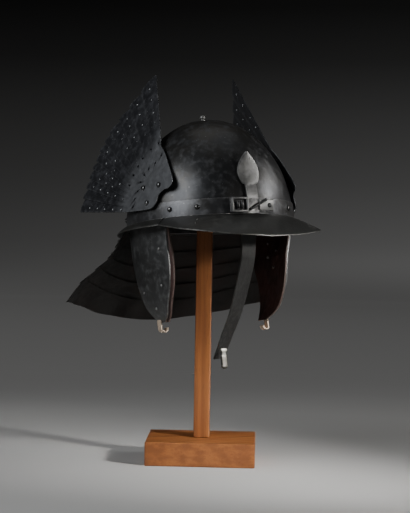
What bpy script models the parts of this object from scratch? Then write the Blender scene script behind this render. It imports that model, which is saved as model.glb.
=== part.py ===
# Winged cavalry helmet on a plain wooden display stand.
# Metres, +Z up. The origin is the centre of the stand's underside. The helmet faces -Y.
# The helmet is modelled level about its own rim, then tipped back a little on the post.

import math

import bmesh
import bpy
from mathutils import Vector

# Pose of the helmet on its stand
HELMET_RISE = 0.3095
HELMET_ASIDE = -0.0018
PITCH = math.radians(8)
GAP = 0.0003

# Skull, a half ellipsoid whose rim lies at height 0 of the helmet's own frame
SKULL_HALF_WIDTH = 0.105
SKULL_HALF_LENGTH = 0.112
SKULL_HEIGHT = 0.135
SKULL_WALL = 0.0020
ROUND_STEPS = 44

# Brow band
BAND_HEIGHT = 0.0200
BAND_THICK = 0.0014
BAND_RIVET_ANGLES = (37, 56, 118, 150)

# Peak, half of its rim from the front centre round to its end
PEAK_THICK = 0.0016
PEAK_END = math.radians(60)
PEAK_REACH = 0.046
PEAK_DROP = 0.0320
PEAK_TABLE = {
    "share": (0.00, 0.30, 0.55, 0.70, 0.85, 1.00),
    "reach": (1.00, 1.00, 0.97, 0.80, 0.50, 0.28),
    "drop": (1.00, 0.90, 0.71, 0.58, 0.42, 0.27),
}

# Turned-out rim behind the peak
RIM_REACH = 0.0125
RIM_DROP = 0.0085
RIM_THICK = 0.0016

# Crown finial
FINIAL_RADIUS = 0.0040
FINIAL_HEIGHT = 0.0075
WASHER_RADIUS = 0.0062
WASHER_THICK = 0.0014
FINIAL_BACK = 0.0085

# Leaf plate and its bracket at the front of the band
LEAF_WIDTH = 0.029
LEAF_TOP = 0.078
LEAF_SHOULDER = 0.037
STEM_WIDTH = 0.0150
STEM_FOOT = 0.0006
LEAF_THICK = 0.0020
LEAF_STANDOFF = 0.0026
LEAF_LEAN = 0.0115
STEM_ROWS = (0, 0.41, 0.71, 0.94)
LEAF_TABLE = {
    "share": (0.00, 0.14, 0.34, 0.58, 0.80, 1.00),
    "width": (0.66, 0.86, 1.00, 0.88, 0.56, 0.10),
}
BRIDGE_HALF = 0.0300
BRIDGE_HEIGHT = 0.0165
BRIDGE_THICK = 0.0020
BRIDGE_RIVET = 0.0225
FRAME_WIDTH = 0.0215
FRAME_HEIGHT = 0.0185
FRAME_BAR = 0.0036
FRAME_DEPTH = 0.0042
FRAME_CENTRE = -0.0190
NUT_SIDE = 0.0092
NUT_DEPTH = 0.0050

# Wings, in the wing's own plane: u runs back and v up from the front corner
WING_CORNER_SIDE = SKULL_HALF_WIDTH - 0.0200
WING_CORNER_FORE = SKULL_HALF_LENGTH - 0.0410
WING_CORNER_RISE = 0.0450
WING_FLARE = math.radians(12)
WING_LEAN = math.radians(18)
WING_THICK = 0.0012
FEATHER_STEP = 0.0011
WING_BACK = 0.1915
WING_RISE = 0.160
WING_TABLE = {
    "tip_u": (0.51, 0.62, 0.716, 0.8, 0.875, 0.905, 0.938, 0.947, 0.968, 0.975, 0.98, 0.985, 0.975),
    "tip_v": (1.0, 0.86, 0.75, 0.652, 0.555, 0.475, 0.403, 0.319, 0.255, 0.171, 0.085, 0.0, -0.116),
    "root_u": (0.227, 0.245, 0.313, 0.355, 0.376, 0.392, 0.402, 0.407, 0.412, 0.415, 0.418, 0.42, 0.423),
    "root_v": (0.325, 0.2, 0.156, 0.125, 0.081, 0.044, 0.006, -0.031, -0.069, -0.1, -0.131, -0.163, -0.2),
}
# Holes pierced through it in two rows, one along the feathers' roots and one further out
WING_HOLES = {
    "u": (0.185, 0.229, 0.284, 0.314, 0.337, 0.346, 0.356, 0.361, 0.256, 0.319, 0.387, 0.419, 0.44, 0.459),
    "v": (0.233, 0.176, 0.138, 0.09, 0.033, -0.041, -0.104, -0.168, 0.35, 0.312, 0.245, 0.185, 0.11, 0.027),
}
WING_HOLE_RADIUS = 0.0011
# The shoulder plate's free edge, from the feathers' lower end round to their upper one
SHOULDER_TABLE = {
    "u": (0.18, 0.12, 0.107, 0.067, 0.02, 0.0, 0.085, 0.167),
    "v": (-0.212, -0.175, -0.106, -0.069, -0.056, 0.0, 0.145, 0.2625),
}
SHOULDER_CENTRE = (0.24, 0.03)
FEATHER_NOTCH = 0.0045
WING_BOW = 0.0030
WING_SEAT = (0.058, 0.004)
WING_SEAT_REACH = 0.085
WING_RIVET_RADIUS = 0.0042
WING_RIVET_HEIGHT = 0.0028
WING_RIVETS = ((0.2855, -0.024), (0.126, -0.022), (0.208, -0.158))

# Cheek pieces, on the wearer's two sides: fore and rear edges of each section
CHEEK_TOP = -0.0030
CHEEK_LENGTH = 0.1230
CHEEK_THICK = 0.0014
LEFT_CHEEK_SET = 0.0075
LEFT_CHEEK_TURN = 0.05
CHEEK_TABLE = {
    "share": (0.00, 0.20, 0.42, 0.64, 0.84, 0.94, 1.00),
    "fore": (0.054, 0.054, 0.054, 0.050, 0.039, 0.028, 0.015),
    "rear": (-0.040, -0.040, -0.034, -0.023, -0.014, -0.007, 0.000),
    "shrink": (0.0000, 0.0012, 0.0035, 0.0070, 0.0130, 0.0200, 0.0260),
}
CHEEK_RIVET_RADIUS = 0.0024
CHEEK_RIVET_HEIGHT = 0.0018
CHEEK_ROWS = (0, 0.1, 0.2, 0.31, 0.42, 0.53, 0.64, 0.74, 0.84, 0.90, 0.95, 1)
CHEEK_RIVETS = ((0.27, 0.041), (0.64, 0.037), (0.86, 0.015), (0.69, -0.006))
LINING_THICK = 0.0022
LINING_MARGIN = 0.0035
LINING_RISE = 0.0120
TAB_WIDTH = 0.0160
TAB_LENGTH = 0.0150

# Neck guard of overlapping lames, a row for each edge from the rim down
LAME_THICK = 0.0013
LAME_OVERLAP = 0.22
LAME_SHIFT = 0.0027
LAME_TABLE = {
    "side": (0.1065, 0.115, 0.122, 0.135, 0.150, 0.163),
    "fore": (0.034, 0.045, 0.055, 0.069, 0.087, 0.103),
    "drop": (-0.0035, -0.024, -0.038, -0.052, -0.068, -0.091),
    "back": (0.1165, 0.130, 0.143, 0.156, 0.168, 0.180),
    "back_drop": (-0.0023, -0.029, -0.050, -0.071, -0.092, -0.112),
}

# Chin strap, hanging free: how far forward and how low its centre line runs
STRAP_WIDTH = 0.0205
STRAP_END_WIDTH = 0.0150
STRAP_THICK = 0.0026
STRAP_PLACE = -0.003
STRAP_TABLE = {
    "share": (0.0, 0.075, 0.17, 0.24, 0.31, 0.44, 0.64, 0.845, 1.0),
    "fore": (0.1054, 0.1058, 0.1054, 0.1035, 0.1000, 0.0865, 0.0625, 0.0330, 0.0100),
    "drop": (0.0120, -0.0040, -0.0250, -0.0400, -0.0550, -0.0800, -0.1165, -0.1480, -0.1730),
}
CLASP_WIDTH = 0.0095
CLASP_LENGTH = 0.0260
CLASP_THICK = 0.0040

# Wooden stand
BASE_WIDTH = 0.141
BASE_DEPTH = 0.112
BASE_HEIGHT = 0.031
POST_SIDE = 0.0205
POST_GAP = 0.0003
STAND_TURN = math.radians(-29)
EDGE_SOFTENING = 0.0012

# Rivets
RIVET_RADIUS = 0.0030
RIVET_HEIGHT = 0.0022


def clear_scene():
    for obj in list(bpy.data.objects):
        bpy.data.objects.remove(obj)


def read(table, column, at, key="share"):
    """The column's value at this share, on a smooth curve through the table's rows."""
    keys, values = table[key], table[column]
    last = len(keys) - 1
    place = min(max(at, keys[0]), keys[-1])
    row = max(i for i in range(last) if keys[i] <= place or i == 0)
    span = keys[row + 1] - keys[row]
    t = (place - keys[row]) / span
    before, after = max(row - 1, 0), min(row + 2, last)
    slope_in = (values[row + 1] - values[before]) / (keys[row + 1] - keys[before]) * span
    slope_out = (values[after] - values[row]) / (keys[after] - keys[row]) * span
    return (
        values[row] * (1 + 2 * t) * (1 - t) ** 2
        + slope_in * t * (1 - t) ** 2
        + values[row + 1] * t * t * (3 - 2 * t)
        + slope_out * t * t * (t - 1)
    )


def material(name, colour, roughness, metallic):
    made = bpy.data.materials.new(name)
    made.use_nodes = True
    shader = made.node_tree.nodes["Principled BSDF"]
    shader.inputs["Base Color"].default_value = (*colour, 1)
    shader.inputs["Roughness"].default_value = roughness
    shader.inputs["Metallic"].default_value = metallic
    return made


def finish_object(name, mesh_maker, finish, parent):
    """A new object from a bmesh, facing out, shaded smooth between its sharp edges."""
    bmesh.ops.recalc_face_normals(mesh_maker, faces=mesh_maker.faces)
    mesh = bpy.data.meshes.new(name)
    mesh_maker.to_mesh(mesh)
    mesh_maker.free()
    mesh.materials.append(finish)
    mesh.shade_smooth()
    mesh.set_sharp_from_angle(angle=math.radians(35))
    obj = bpy.data.objects.new(name, mesh)
    bpy.context.scene.collection.objects.link(obj)
    obj.parent = parent
    return obj


def shell(name, point, across, along, thick, finish, parent, wrap=False):
    """A closed wall: point(u, v, depth) gives its inner face at depth 0 and its outer one at thick."""
    made = bmesh.new()
    grids = [
        [[made.verts.new(point(u, v, depth)) for u in across] for v in along]
        for depth in (0, thick)
    ]
    inner, outer = grids
    width = len(across)
    steps = width if wrap else width - 1
    for j in range(len(along) - 1):
        for i in range(steps):
            k = (i + 1) % width
            for grid in grids:
                made.faces.new((grid[j][i], grid[j][k], grid[j + 1][k], grid[j + 1][i]))
    for j in (0, len(along) - 1):
        for i in range(steps):
            k = (i + 1) % width
            made.faces.new((inner[j][i], inner[j][k], outer[j][k], outer[j][i]))
    if not wrap:
        for j in range(len(along) - 1):
            for i in (0, width - 1):
                made.faces.new((inner[j][i], inner[j + 1][i], outer[j + 1][i], outer[j][i]))
    return finish_object(name, made, finish, parent)


def spaced(first, last, count):
    return [first + (last - first) * i / (count - 1) for i in range(count)]


def turned(name, profile, sides, finish, parent):
    """A solid of revolution about Z from (radius, height) pairs, flat at both ends."""
    made = bmesh.new()
    turns = [2 * math.pi * i / sides for i in range(sides)]
    rings = [
        [made.verts.new((r * math.cos(a), r * math.sin(a), z)) for a in turns]
        for r, z in profile
    ]
    for low, high in zip(rings, rings[1:]):
        for i in range(sides):
            k = (i + 1) % sides
            made.faces.new((low[i], low[k], high[k], high[i]))
    made.faces.new(rings[0])
    made.faces.new(rings[-1])
    return finish_object(name, made, finish, parent)


def block(name, low, high, finish, parent, softening=0.0):
    """A box between two corners, its edges softened by a bevel."""
    made = bmesh.new()
    bmesh.ops.create_cube(made, size=1)
    for vert in made.verts:
        vert.co = Vector(low[i] + (high[i] - low[i]) * (vert.co[i] + 0.5) for i in range(3))
    obj = finish_object(name, made, finish, parent)
    if softening:
        bevel = obj.modifiers.new("edges", "BEVEL")
        bevel.width = softening
        bevel.segments = 2
    return obj


def helper(obj):
    """Keeps a cutter or a piece to be joined out of the model."""
    obj.hide_render = True
    obj.display_type = "WIRE"
    return obj


def combine(obj, other, operation):
    step = obj.modifiers.new(other.name, "BOOLEAN")
    step.operation = operation
    step.object = helper(other)


def add_rivets(obj, places, shank, finish, parent, radius=RIVET_RADIUS, height=RIVET_HEIGHT):
    """Domed heads at (point, outward direction), on a short shank into the piece that they join."""
    made = bmesh.new()
    for point, outward in places:
        turn = Vector(outward).normalized().to_track_quat("Z", "Y").to_matrix().to_4x4()
        turn.translation = Vector(point)
        head = bmesh.ops.create_uvsphere(made, u_segments=8, v_segments=6, radius=1)
        for vert in head["verts"]:
            z = vert.co.z * height if vert.co.z > -0.1 else -shank
            vert.co = Vector((vert.co.x * radius, vert.co.y * radius, z))
        bmesh.ops.transform(made, matrix=turn, verts=head["verts"])
    combine(obj, finish_object(obj.name + "_rivets", made, finish, parent), "UNION")


def skull_point(angle, height, out=0.0):
    """A point on the skull at this angle from the front, or this far outside it."""
    share = math.sqrt(max(0.0, 1 - (height / SKULL_HEIGHT) ** 2))
    x = math.sin(angle) * (SKULL_HALF_WIDTH * share + out)
    y = -math.cos(angle) * (SKULL_HALF_LENGTH * share + out)
    return Vector((x, y, height))


def skull_outward(angle, height):
    """The direction straight out of the skull there."""
    at = skull_point(angle, height)
    halves = (SKULL_HALF_WIDTH, SKULL_HALF_LENGTH, SKULL_HEIGHT)
    return Vector(at[i] / halves[i] ** 2 for i in range(3)).normalized()


def skull_height_at(x, y):
    """The height of the skull's outer surface over this point of its rim's plane."""
    return SKULL_HEIGHT * math.sqrt(1 - (x / SKULL_HALF_WIDTH) ** 2 - (y / SKULL_HALF_LENGTH) ** 2)


def depth_to_skull(point, outward):
    """How far below this point, against the outward direction, the skull or its band lies."""
    band = GAP + BAND_THICK if point.z < BAND_HEIGHT + WING_RIVET_RADIUS * 2 else 0.0
    halves = [half + band for half in (SKULL_HALF_WIDTH, SKULL_HALF_LENGTH, SKULL_HEIGHT)]
    near, far = 0.0, SKULL_HALF_WIDTH
    for _ in range(40):
        middle = (near + far) / 2
        at = point - outward * middle
        outside = sum((at[i] / halves[i]) ** 2 for i in range(3)) > 1
        near, far = (middle, far) if outside else (near, middle)
    return near


def make_skull(finish, parent):
    """The dome: rings up to the crown, closed there by a fan of triangles on each face."""
    made = bmesh.new()
    turns = [2 * math.pi * i / ROUND_STEPS for i in range(ROUND_STEPS)]
    rises = [math.radians(a) for a in (0, 10, 20, 31, 42, 53, 63, 72, 81)]
    faces = []
    for wall in (SKULL_WALL, 0):
        half_width = SKULL_HALF_WIDTH - wall
        half_length = SKULL_HALF_LENGTH - wall
        height = SKULL_HEIGHT - wall
        rings = [
            [
                made.verts.new(
                    (
                        half_width * math.cos(e) * math.sin(a),
                        -half_length * math.cos(e) * math.cos(a),
                        height * math.sin(e),
                    )
                )
                for a in turns
            ]
            for e in rises
        ]
        crown = made.verts.new((0, 0, height))
        for i in range(ROUND_STEPS):
            k = (i + 1) % ROUND_STEPS
            for low, high in zip(rings, rings[1:]):
                made.faces.new((low[i], low[k], high[k], high[i]))
            made.faces.new((rings[-1][i], rings[-1][k], crown))
        faces.append(rings[0])
    inner, outer = faces
    for i in range(ROUND_STEPS):
        k = (i + 1) % ROUND_STEPS
        made.faces.new((inner[i], inner[k], outer[k], outer[i]))
    return finish_object("skull", made, finish, parent)


def make_band(finish, parent):
    def point(angle, height, depth):
        return skull_point(angle, height, GAP + depth)

    turns = [2 * math.pi * i / ROUND_STEPS for i in range(ROUND_STEPS)]
    band = shell("brow_band", point, turns, spaced(0.0, BAND_HEIGHT, 3), BAND_THICK, finish, parent, True)
    middle = BAND_HEIGHT / 2
    places = []
    for angle in BAND_RIVET_ANGLES:
        for side in (-1, 1):
            turn = math.radians(angle) * side
            at = skull_point(turn, middle, GAP + BAND_THICK)
            places.append((at, skull_outward(turn, middle)))
    add_rivets(band, places, BAND_THICK * 0.7, finish, parent)
    return band


def make_peak(finish, parent):
    """The peak runs out and down from the band's lower edge, with square corners at its ends."""
    inner_out = GAP * 2 + BAND_THICK

    def point(angle, share, depth):
        along = abs(angle) / PEAK_END
        reach = PEAK_REACH * read(PEAK_TABLE, "reach", along)
        drop = PEAK_DROP * read(PEAK_TABLE, "drop", along)
        out = inner_out + reach * share
        fall = drop * (0.85 * share + 0.15 * share * share)
        at = skull_point(angle, 0.0, out)
        return at + Vector((0, 0, depth - fall - PEAK_THICK))

    return shell(
        "peak", point, spaced(-PEAK_END, PEAK_END, 33), spaced(0, 1, 5), PEAK_THICK, finish, parent
    )


def make_rim(finish, parent):
    """The narrow turned-out rim that goes on from the peak round the back."""
    inner_out = GAP * 2 + BAND_THICK
    start = PEAK_END + GAP / SKULL_HALF_WIDTH * 3

    def point(angle, share, depth):
        at = skull_point(angle, 0.0, inner_out + RIM_REACH * share)
        return at + Vector((0, 0, depth - RIM_DROP * share ** 1.4 - RIM_THICK))

    turns = spaced(start, 2 * math.pi - start, 45)
    return shell("rear_rim", point, turns, spaced(0, 1, 4), RIM_THICK, finish, parent)


def make_finial(finish, parent):
    foot = skull_height_at(0, FINIAL_BACK) + GAP
    top = foot + WASHER_THICK + FINIAL_HEIGHT
    profile = (
        (WASHER_RADIUS, foot),
        (WASHER_RADIUS, foot + WASHER_THICK),
        (FINIAL_RADIUS * 0.7, foot + WASHER_THICK * 1.3),
        (FINIAL_RADIUS, foot + WASHER_THICK + FINIAL_HEIGHT * 0.35),
        (FINIAL_RADIUS, foot + WASHER_THICK + FINIAL_HEIGHT * 0.75),
        (FINIAL_RADIUS * 0.6, top),
    )
    finial = turned("crown_finial", profile, 12, finish, parent)
    finial.location = (0, FINIAL_BACK, 0)
    return finial


def front_out():
    """How far the outer face of the stem stands from the skull's rim."""
    return GAP * 2 + BAND_THICK + LEAF_THICK


def make_leaf(finish, parent):
    """The leaf-shaped plate: a flat stem on the band, then a spade that follows the dome."""
    stem_out = GAP * 2 + BAND_THICK

    def half_width(height):
        if height <= LEAF_SHOULDER:
            return STEM_WIDTH / 2
        share = (height - LEAF_SHOULDER) / (LEAF_TOP - LEAF_SHOULDER)
        return LEAF_WIDTH / 2 * read(LEAF_TABLE, "width", share)

    def fore(height):
        standing = SKULL_HALF_LENGTH + stem_out
        dome = skull_point(0, max(height, 0)).y * -1 + LEAF_STANDOFF
        blend = min(max((height - BAND_HEIGHT) / (LEAF_SHOULDER - BAND_HEIGHT), 0), 1)
        lean = LEAF_LEAN * max(0, (height - LEAF_SHOULDER) / (LEAF_TOP - LEAF_SHOULDER)) ** 2
        return standing + (min(dome, standing) - standing) * blend + lean

    def point(across, height, depth):
        bow = 0.0014 * across * across if height > LEAF_SHOULDER else 0.0
        return Vector((across * half_width(height), bow - fore(height) - depth, height))

    heights = [STEM_FOOT, BAND_HEIGHT * 0.3]
    heights += [BAND_HEIGHT + (LEAF_SHOULDER - BAND_HEIGHT) * share for share in STEM_ROWS]
    heights += spaced(LEAF_SHOULDER, LEAF_TOP, 8)
    return shell("leaf_plate", point, spaced(-1, 1, 7), heights, LEAF_THICK, finish, parent)


def make_bracket(finish, parent):
    """The bar across the stem, with a square frame round the clamp's nut at one end."""
    out = front_out() + GAP
    middle = BAND_HEIGHT / 2

    def point(across, up, depth):
        x = BRIDGE_HALF * across
        around = math.asin(x / (SKULL_HALF_WIDTH + out))
        at = skull_point(around, 0.0, out + depth)
        return Vector((at.x, at.y, middle + BRIDGE_HEIGHT / 2 * up))

    bracket = shell("leaf_bracket", point, spaced(-1, 1, 13), (-1, 0, 1), BRIDGE_THICK, finish, parent)
    face = -point(FRAME_CENTRE / BRIDGE_HALF, 0, BRIDGE_THICK).y
    add_frame(bracket, face, middle, finish, parent)
    seat = point(BRIDGE_RIVET / BRIDGE_HALF, 0, BRIDGE_THICK)
    add_rivets(bracket, [(seat, (seat.x, seat.y, 0))], BRIDGE_THICK * 0.7, finish, parent)
    return bracket


def add_frame(bracket, face, middle, finish, parent):
    """The square frame and the nut inside it, turned to lie on the bracket's curve."""
    corners = ((-1, -1), (1, -1), (1, 1), (-1, 1))
    sink = 0.0012

    def point(corner, share, depth):
        bar = FRAME_BAR * (1 - share)
        x = corners[corner][0] * (FRAME_WIDTH / 2 - bar)
        z = corners[corner][1] * (FRAME_HEIGHT / 2 - bar)
        return Vector((x, sink - depth, z))

    frame = shell("clamp_frame", point, range(4), (0, 1), FRAME_DEPTH + sink, finish, parent, True)
    half_nut = NUT_SIDE / 2
    nut = block("clamp_nut", (-half_nut, -NUT_DEPTH, -half_nut), (half_nut, sink * 0.8, half_nut), finish, parent)
    for piece in (frame, nut):
        piece.location = (FRAME_CENTRE, -face, middle)
        piece.rotation_euler = (0, 0, math.asin(FRAME_CENTRE / SKULL_HALF_WIDTH))
        combine(bracket, piece, "UNION")


def wing_place(u, v, out, side):
    """A point of the wing in the helmet's frame, bowed out where it passes over the dome."""
    away = math.hypot(u - WING_SEAT[0], v - WING_SEAT[1]) / WING_SEAT_REACH
    out += WING_BOW * max(0.0, 1 - away ** 2) ** 2
    back = Vector((math.sin(WING_FLARE), math.cos(WING_FLARE), 0))
    up = Vector((-math.sin(WING_LEAN), 0, math.cos(WING_LEAN)))
    outward = back.cross(up) if back.cross(up).x > 0 else up.cross(back)
    at = Vector((WING_CORNER_SIDE, -WING_CORNER_FORE, WING_CORNER_RISE))
    at += back * u + up * v + outward.normalized() * out
    return Vector((at.x * side, at.y, at.z))


def wing_rays():
    """Each feather boundary's root and tip in the wing's plane, from the front edge round."""
    rows = zip(*(WING_TABLE[k] for k in ("tip_u", "tip_v", "root_u", "root_v")))
    return [
        ((ru * WING_BACK, rv * WING_RISE), (tu * WING_BACK, tv * WING_RISE))
        for tu, tv, ru, rv in rows
    ]


def make_wing(name, side, finish, parent):
    """Feathers in overlapping strips round a flat shoulder plate, one solid."""
    made = bmesh.new()
    rays = wing_rays()
    shares = spaced(0, 1, 6)
    cached = {}

    def vert(u, v, out):
        key = (round(u, 6), round(v, 6), round(out, 6))
        if key not in cached:
            cached[key] = made.verts.new(wing_place(u, v, out, side))
        return cached[key]

    def on_ray(index, share, out, longer=0.0):
        (ru, rv), (tu, tv) = rays[index]
        span = math.hypot(tu - ru, tv - rv)
        reach = share + longer / span
        return vert(ru + (tu - ru) * reach, rv + (tv - rv) * reach, out)

    low, high = WING_THICK, WING_THICK + FEATHER_STEP
    count = len(rays) - 1
    for i in range(count):
        for a, b in zip(shares, shares[1:]):
            corners = ((i, a), (i, b), (i + 1, b), (i + 1, a))
            made.faces.new(on_ray(ray, share, high if ray > i else low) for ray, share in corners)
            made.faces.new(on_ray(ray, share, 0) for ray, share in reversed(corners))
            if i:
                step = ((a, high), (b, high), (b, low), (a, low))
                made.faces.new(on_ray(i, share, out) for share, out in step)
        made.faces.new((on_ray(i, 1, low), on_ray(i + 1, 1, high, FEATHER_NOTCH), on_ray(i + 1, 1, high)))
        made.faces.new((on_ray(i, 1, 0), on_ray(i + 1, 1, 0), on_ray(i + 1, 1, 0, FEATHER_NOTCH)))
        tip = (on_ray(i, 1, low), on_ray(i, 1, 0))
        point = (on_ray(i + 1, 1, high, FEATHER_NOTCH), on_ray(i + 1, 1, 0, FEATHER_NOTCH))
        made.faces.new((tip[0], tip[1], point[1], point[0]))
        if i < count - 1:
            made.faces.new((*point, *(on_ray(i + 1, 1, out) for out in (0, low, high))))
    for ray, top in ((0, low), (count, high)):
        for a, b in zip(shares, shares[1:]):
            wall = [on_ray(ray, a, 0), on_ray(ray, b, 0), on_ray(ray, b, top), on_ray(ray, a, top)]
            if ray and not a:
                wall.append(on_ray(ray, a, low))
            made.faces.new(wall)
    point = (on_ray(count, 1, high, FEATHER_NOTCH), on_ray(count, 1, 0, FEATHER_NOTCH))
    made.faces.new((on_ray(count, 1, 0), point[1], point[0], on_ray(count, 1, high)))
    add_shoulder(made, rays, vert, low, high)
    wing = finish_object(name, made, finish, parent)
    cut_holes(wing, side, finish, parent)
    out = (wing_place(0, 0, 1, side) - wing_place(0, 0, 0, side)).normalized()
    for u, v in WING_RIVETS:
        seat = wing_place(u * WING_BACK, v * WING_RISE, WING_THICK, side)
        shank = depth_to_skull(seat, out) - GAP * 2
        add_rivets(wing, [(seat, out)], shank, finish, parent, WING_RIVET_RADIUS, WING_RIVET_HEIGHT)
    return wing


def cut_holes(wing, side, finish, parent):
    made = bmesh.new()
    turns = [math.pi / 3 * k for k in range(6)]
    reach = WING_THICK + FEATHER_STEP * 2
    for u, v in zip(WING_HOLES["u"], WING_HOLES["v"]):
        rings = [
            [
                made.verts.new(
                    wing_place(
                        u * WING_BACK + WING_HOLE_RADIUS * math.cos(a),
                        v * WING_RISE + WING_HOLE_RADIUS * math.sin(a),
                        out,
                        side,
                    )
                )
                for a in turns
            ]
            for out in (-reach, reach)
        ]
        for ring in rings:
            made.faces.new(ring)
        for i in range(len(turns)):
            k = (i + 1) % len(turns)
            made.faces.new((rings[0][i], rings[0][k], rings[1][k], rings[1][i]))
    combine(wing, finish_object(wing.name + "_holes", made, finish, parent), "DIFFERENCE")


def add_shoulder(made, rays, vert, low, high):
    """The flat plate between the feathers' roots and the wing's front corner."""
    roots = [root for root, _ in rays]
    edge = [(u * WING_BACK, v * WING_RISE) for u, v in zip(SHOULDER_TABLE["u"], SHOULDER_TABLE["v"])]
    centre = (SHOULDER_CENTRE[0] * WING_BACK, SHOULDER_CENTRE[1] * WING_RISE)
    outline = roots + edge
    last_root = len(roots) - 1
    for i, a in enumerate(outline):
        b = outline[(i + 1) % len(outline)]
        step_end = 0 < i + 1 <= last_root
        made.faces.new((vert(*a, low), vert(*b, low), vert(*centre, low)))
        made.faces.new((vert(*a, 0), vert(*centre, 0), vert(*b, 0)))
        if step_end:
            made.faces.new((vert(*a, low), vert(*b, high), vert(*b, low)))
        else:
            made.faces.new((vert(*a, 0), vert(*b, 0), vert(*b, low), vert(*a, low)))


def cheek_point(fore, height, out, side):
    """A point of the cheek's curved wall; the left piece hangs a little inward and turned."""
    share = min(max((CHEEK_TOP - height) / CHEEK_LENGTH, 0), 1)
    shrink = read(CHEEK_TABLE, "shrink", share)
    if side > 0:
        ramp = min(share * 3, 1)
        shrink += ramp * (LEFT_CHEEK_SET + LEFT_CHEEK_TURN * (max(CHEEK_TABLE["fore"]) - fore))
    level = math.sqrt(1 - (max(height, 0) / SKULL_HEIGHT) ** 2)
    bend = math.sqrt(1 - (fore / (SKULL_HALF_LENGTH * level)) ** 2)
    across = (SKULL_HALF_WIDTH * level - shrink) * bend
    return Vector((side * (across + out), -fore, height))


def lining_face():
    """How far outside the skull's rim line the lining's outer face lies: just inside the skull."""
    return -SKULL_WALL - 4 * GAP


def make_cheek(name, side, finish, parent):
    def point(across, share, depth):
        fore = read(CHEEK_TABLE, "fore", share)
        rear = read(CHEEK_TABLE, "rear", share)
        height = CHEEK_TOP - CHEEK_LENGTH * share
        return cheek_point(rear + (fore - rear) * across, height, depth + lining_face() + GAP, side)

    cheek = shell(name, point, spaced(0, 1, 7), CHEEK_ROWS, CHEEK_THICK, finish, parent)
    places = []
    for share, fore in CHEEK_RIVETS:
        face = lining_face() + GAP + CHEEK_THICK
        at = cheek_point(fore, CHEEK_TOP - CHEEK_LENGTH * share, face, side)
        slope = fore / SKULL_HALF_LENGTH ** 2 * SKULL_HALF_WIDTH
        places.append((at, (side, -slope, 0)))
    add_rivets(cheek, places, CHEEK_THICK * 0.7, finish, parent, CHEEK_RIVET_RADIUS, CHEEK_RIVET_HEIGHT)
    return cheek


def make_lining(name, side, finish, parent):
    """The leather behind a cheek piece, wider at its fore edge, with a tab below."""
    end = CHEEK_LENGTH + TAB_LENGTH
    tab_centre = (read(CHEEK_TABLE, "fore", 1) + read(CHEEK_TABLE, "rear", 1)) / 2

    def edges(down):
        share = max(down, 0) / CHEEK_LENGTH
        if share > 1:
            return tab_centre - TAB_WIDTH / 2, tab_centre + TAB_WIDTH / 2
        margin = LINING_MARGIN * min(1, share * 3)
        return read(CHEEK_TABLE, "rear", share), read(CHEEK_TABLE, "fore", share) + margin

    def point(across, down, depth):
        rear, fore = edges(down)
        out = depth + lining_face() - LINING_THICK
        return cheek_point(rear + (fore - rear) * across, CHEEK_TOP - down, out, side)

    rows = [-LINING_RISE] + [CHEEK_LENGTH * share for share in CHEEK_ROWS]
    rows += [CHEEK_LENGTH + 0.0015, end]
    return shell(name, point, spaced(0, 1, 7), rows, LINING_THICK, finish, parent)


def lame_place(level, across, out):
    """A point of the neck guard's surface: an arc through its two fore corners and its back."""
    rows = dict(LAME_TABLE, share=tuple(range(len(LAME_TABLE["side"]))))
    side, fore, drop, back, back_drop = (
        read(rows, column, level) for column in ("side", "fore", "drop", "back", "back_drop")
    )
    centre = (back ** 2 - side ** 2 - fore ** 2) / (2 * (back - fore))
    radius = back - centre + out
    angle = math.atan2(side, fore - centre) * across
    flat = across * across * (2 - across * across)
    height = back_drop + (drop - back_drop) * flat
    return Vector((radius * math.sin(angle), centre + radius * math.cos(angle), height))


def make_lame(index, finish, parent):
    """One lame, its upper edge tucked inside the lame above."""
    top = index - (LAME_OVERLAP if index else 0.0)

    def point(across, share, depth):
        level = top + (index + 1 - top) * share
        return lame_place(level, across, depth - LAME_THICK - LAME_SHIFT * (1 - share))

    name = f"neck_lame_{index + 1}"
    return shell(name, point, spaced(-1, 1, 25), spaced(0, 1, 4), LAME_THICK, finish, parent)


def strap_frame(share):
    at = Vector((STRAP_PLACE, -read(STRAP_TABLE, "fore", share), read(STRAP_TABLE, "drop", share)))
    step = 0.01
    low, high = max(share - step, 0), min(share + step, 1)
    run = Vector(
        (
            0,
            read(STRAP_TABLE, "fore", low) - read(STRAP_TABLE, "fore", high),
            read(STRAP_TABLE, "drop", high) - read(STRAP_TABLE, "drop", low),
        )
    ).normalized()
    return at, Vector((0, run.z, -run.y))


def make_strap(finish, parent):
    def point(across, share, depth):
        at, facing = strap_frame(share)
        width = STRAP_WIDTH + (STRAP_END_WIDTH - STRAP_WIDTH) * share
        return at + Vector((across * width / 2, 0, 0)) + facing * depth

    return shell("chin_strap", point, (-1, 0, 1), spaced(0, 1, 19), STRAP_THICK, finish, parent)


def make_clasp(finish, parent):
    """The metal end, hanging in front of the strap's last stretch."""
    at, facing = strap_frame(0.93)
    front = at.y + STRAP_THICK / facing.y
    shape = ((0, 0.5), (0.08, 0.5), (0.12, 0.42), (0.30, 0.42), (0.34, 0.5), (0.80, 0.5), (0.93, 0.38), (1, 0.2))
    made = bmesh.new()
    sheets = []
    for y in (front - GAP - CLASP_THICK, front - GAP):
        outline = [(-w, s) for s, w in shape] + [(w, s) for s, w in reversed(shape)]
        sheets.append(
            [made.verts.new((STRAP_PLACE + w * CLASP_WIDTH, y, at.z - s * CLASP_LENGTH)) for w, s in outline]
        )
    made.faces.new(sheets[0])
    made.faces.new(sheets[1])
    for i in range(len(sheets[0])):
        k = (i + 1) % len(sheets[0])
        made.faces.new((sheets[0][i], sheets[0][k], sheets[1][k], sheets[1][i]))
    return finish_object("strap_clasp", made, finish, parent)


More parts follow.
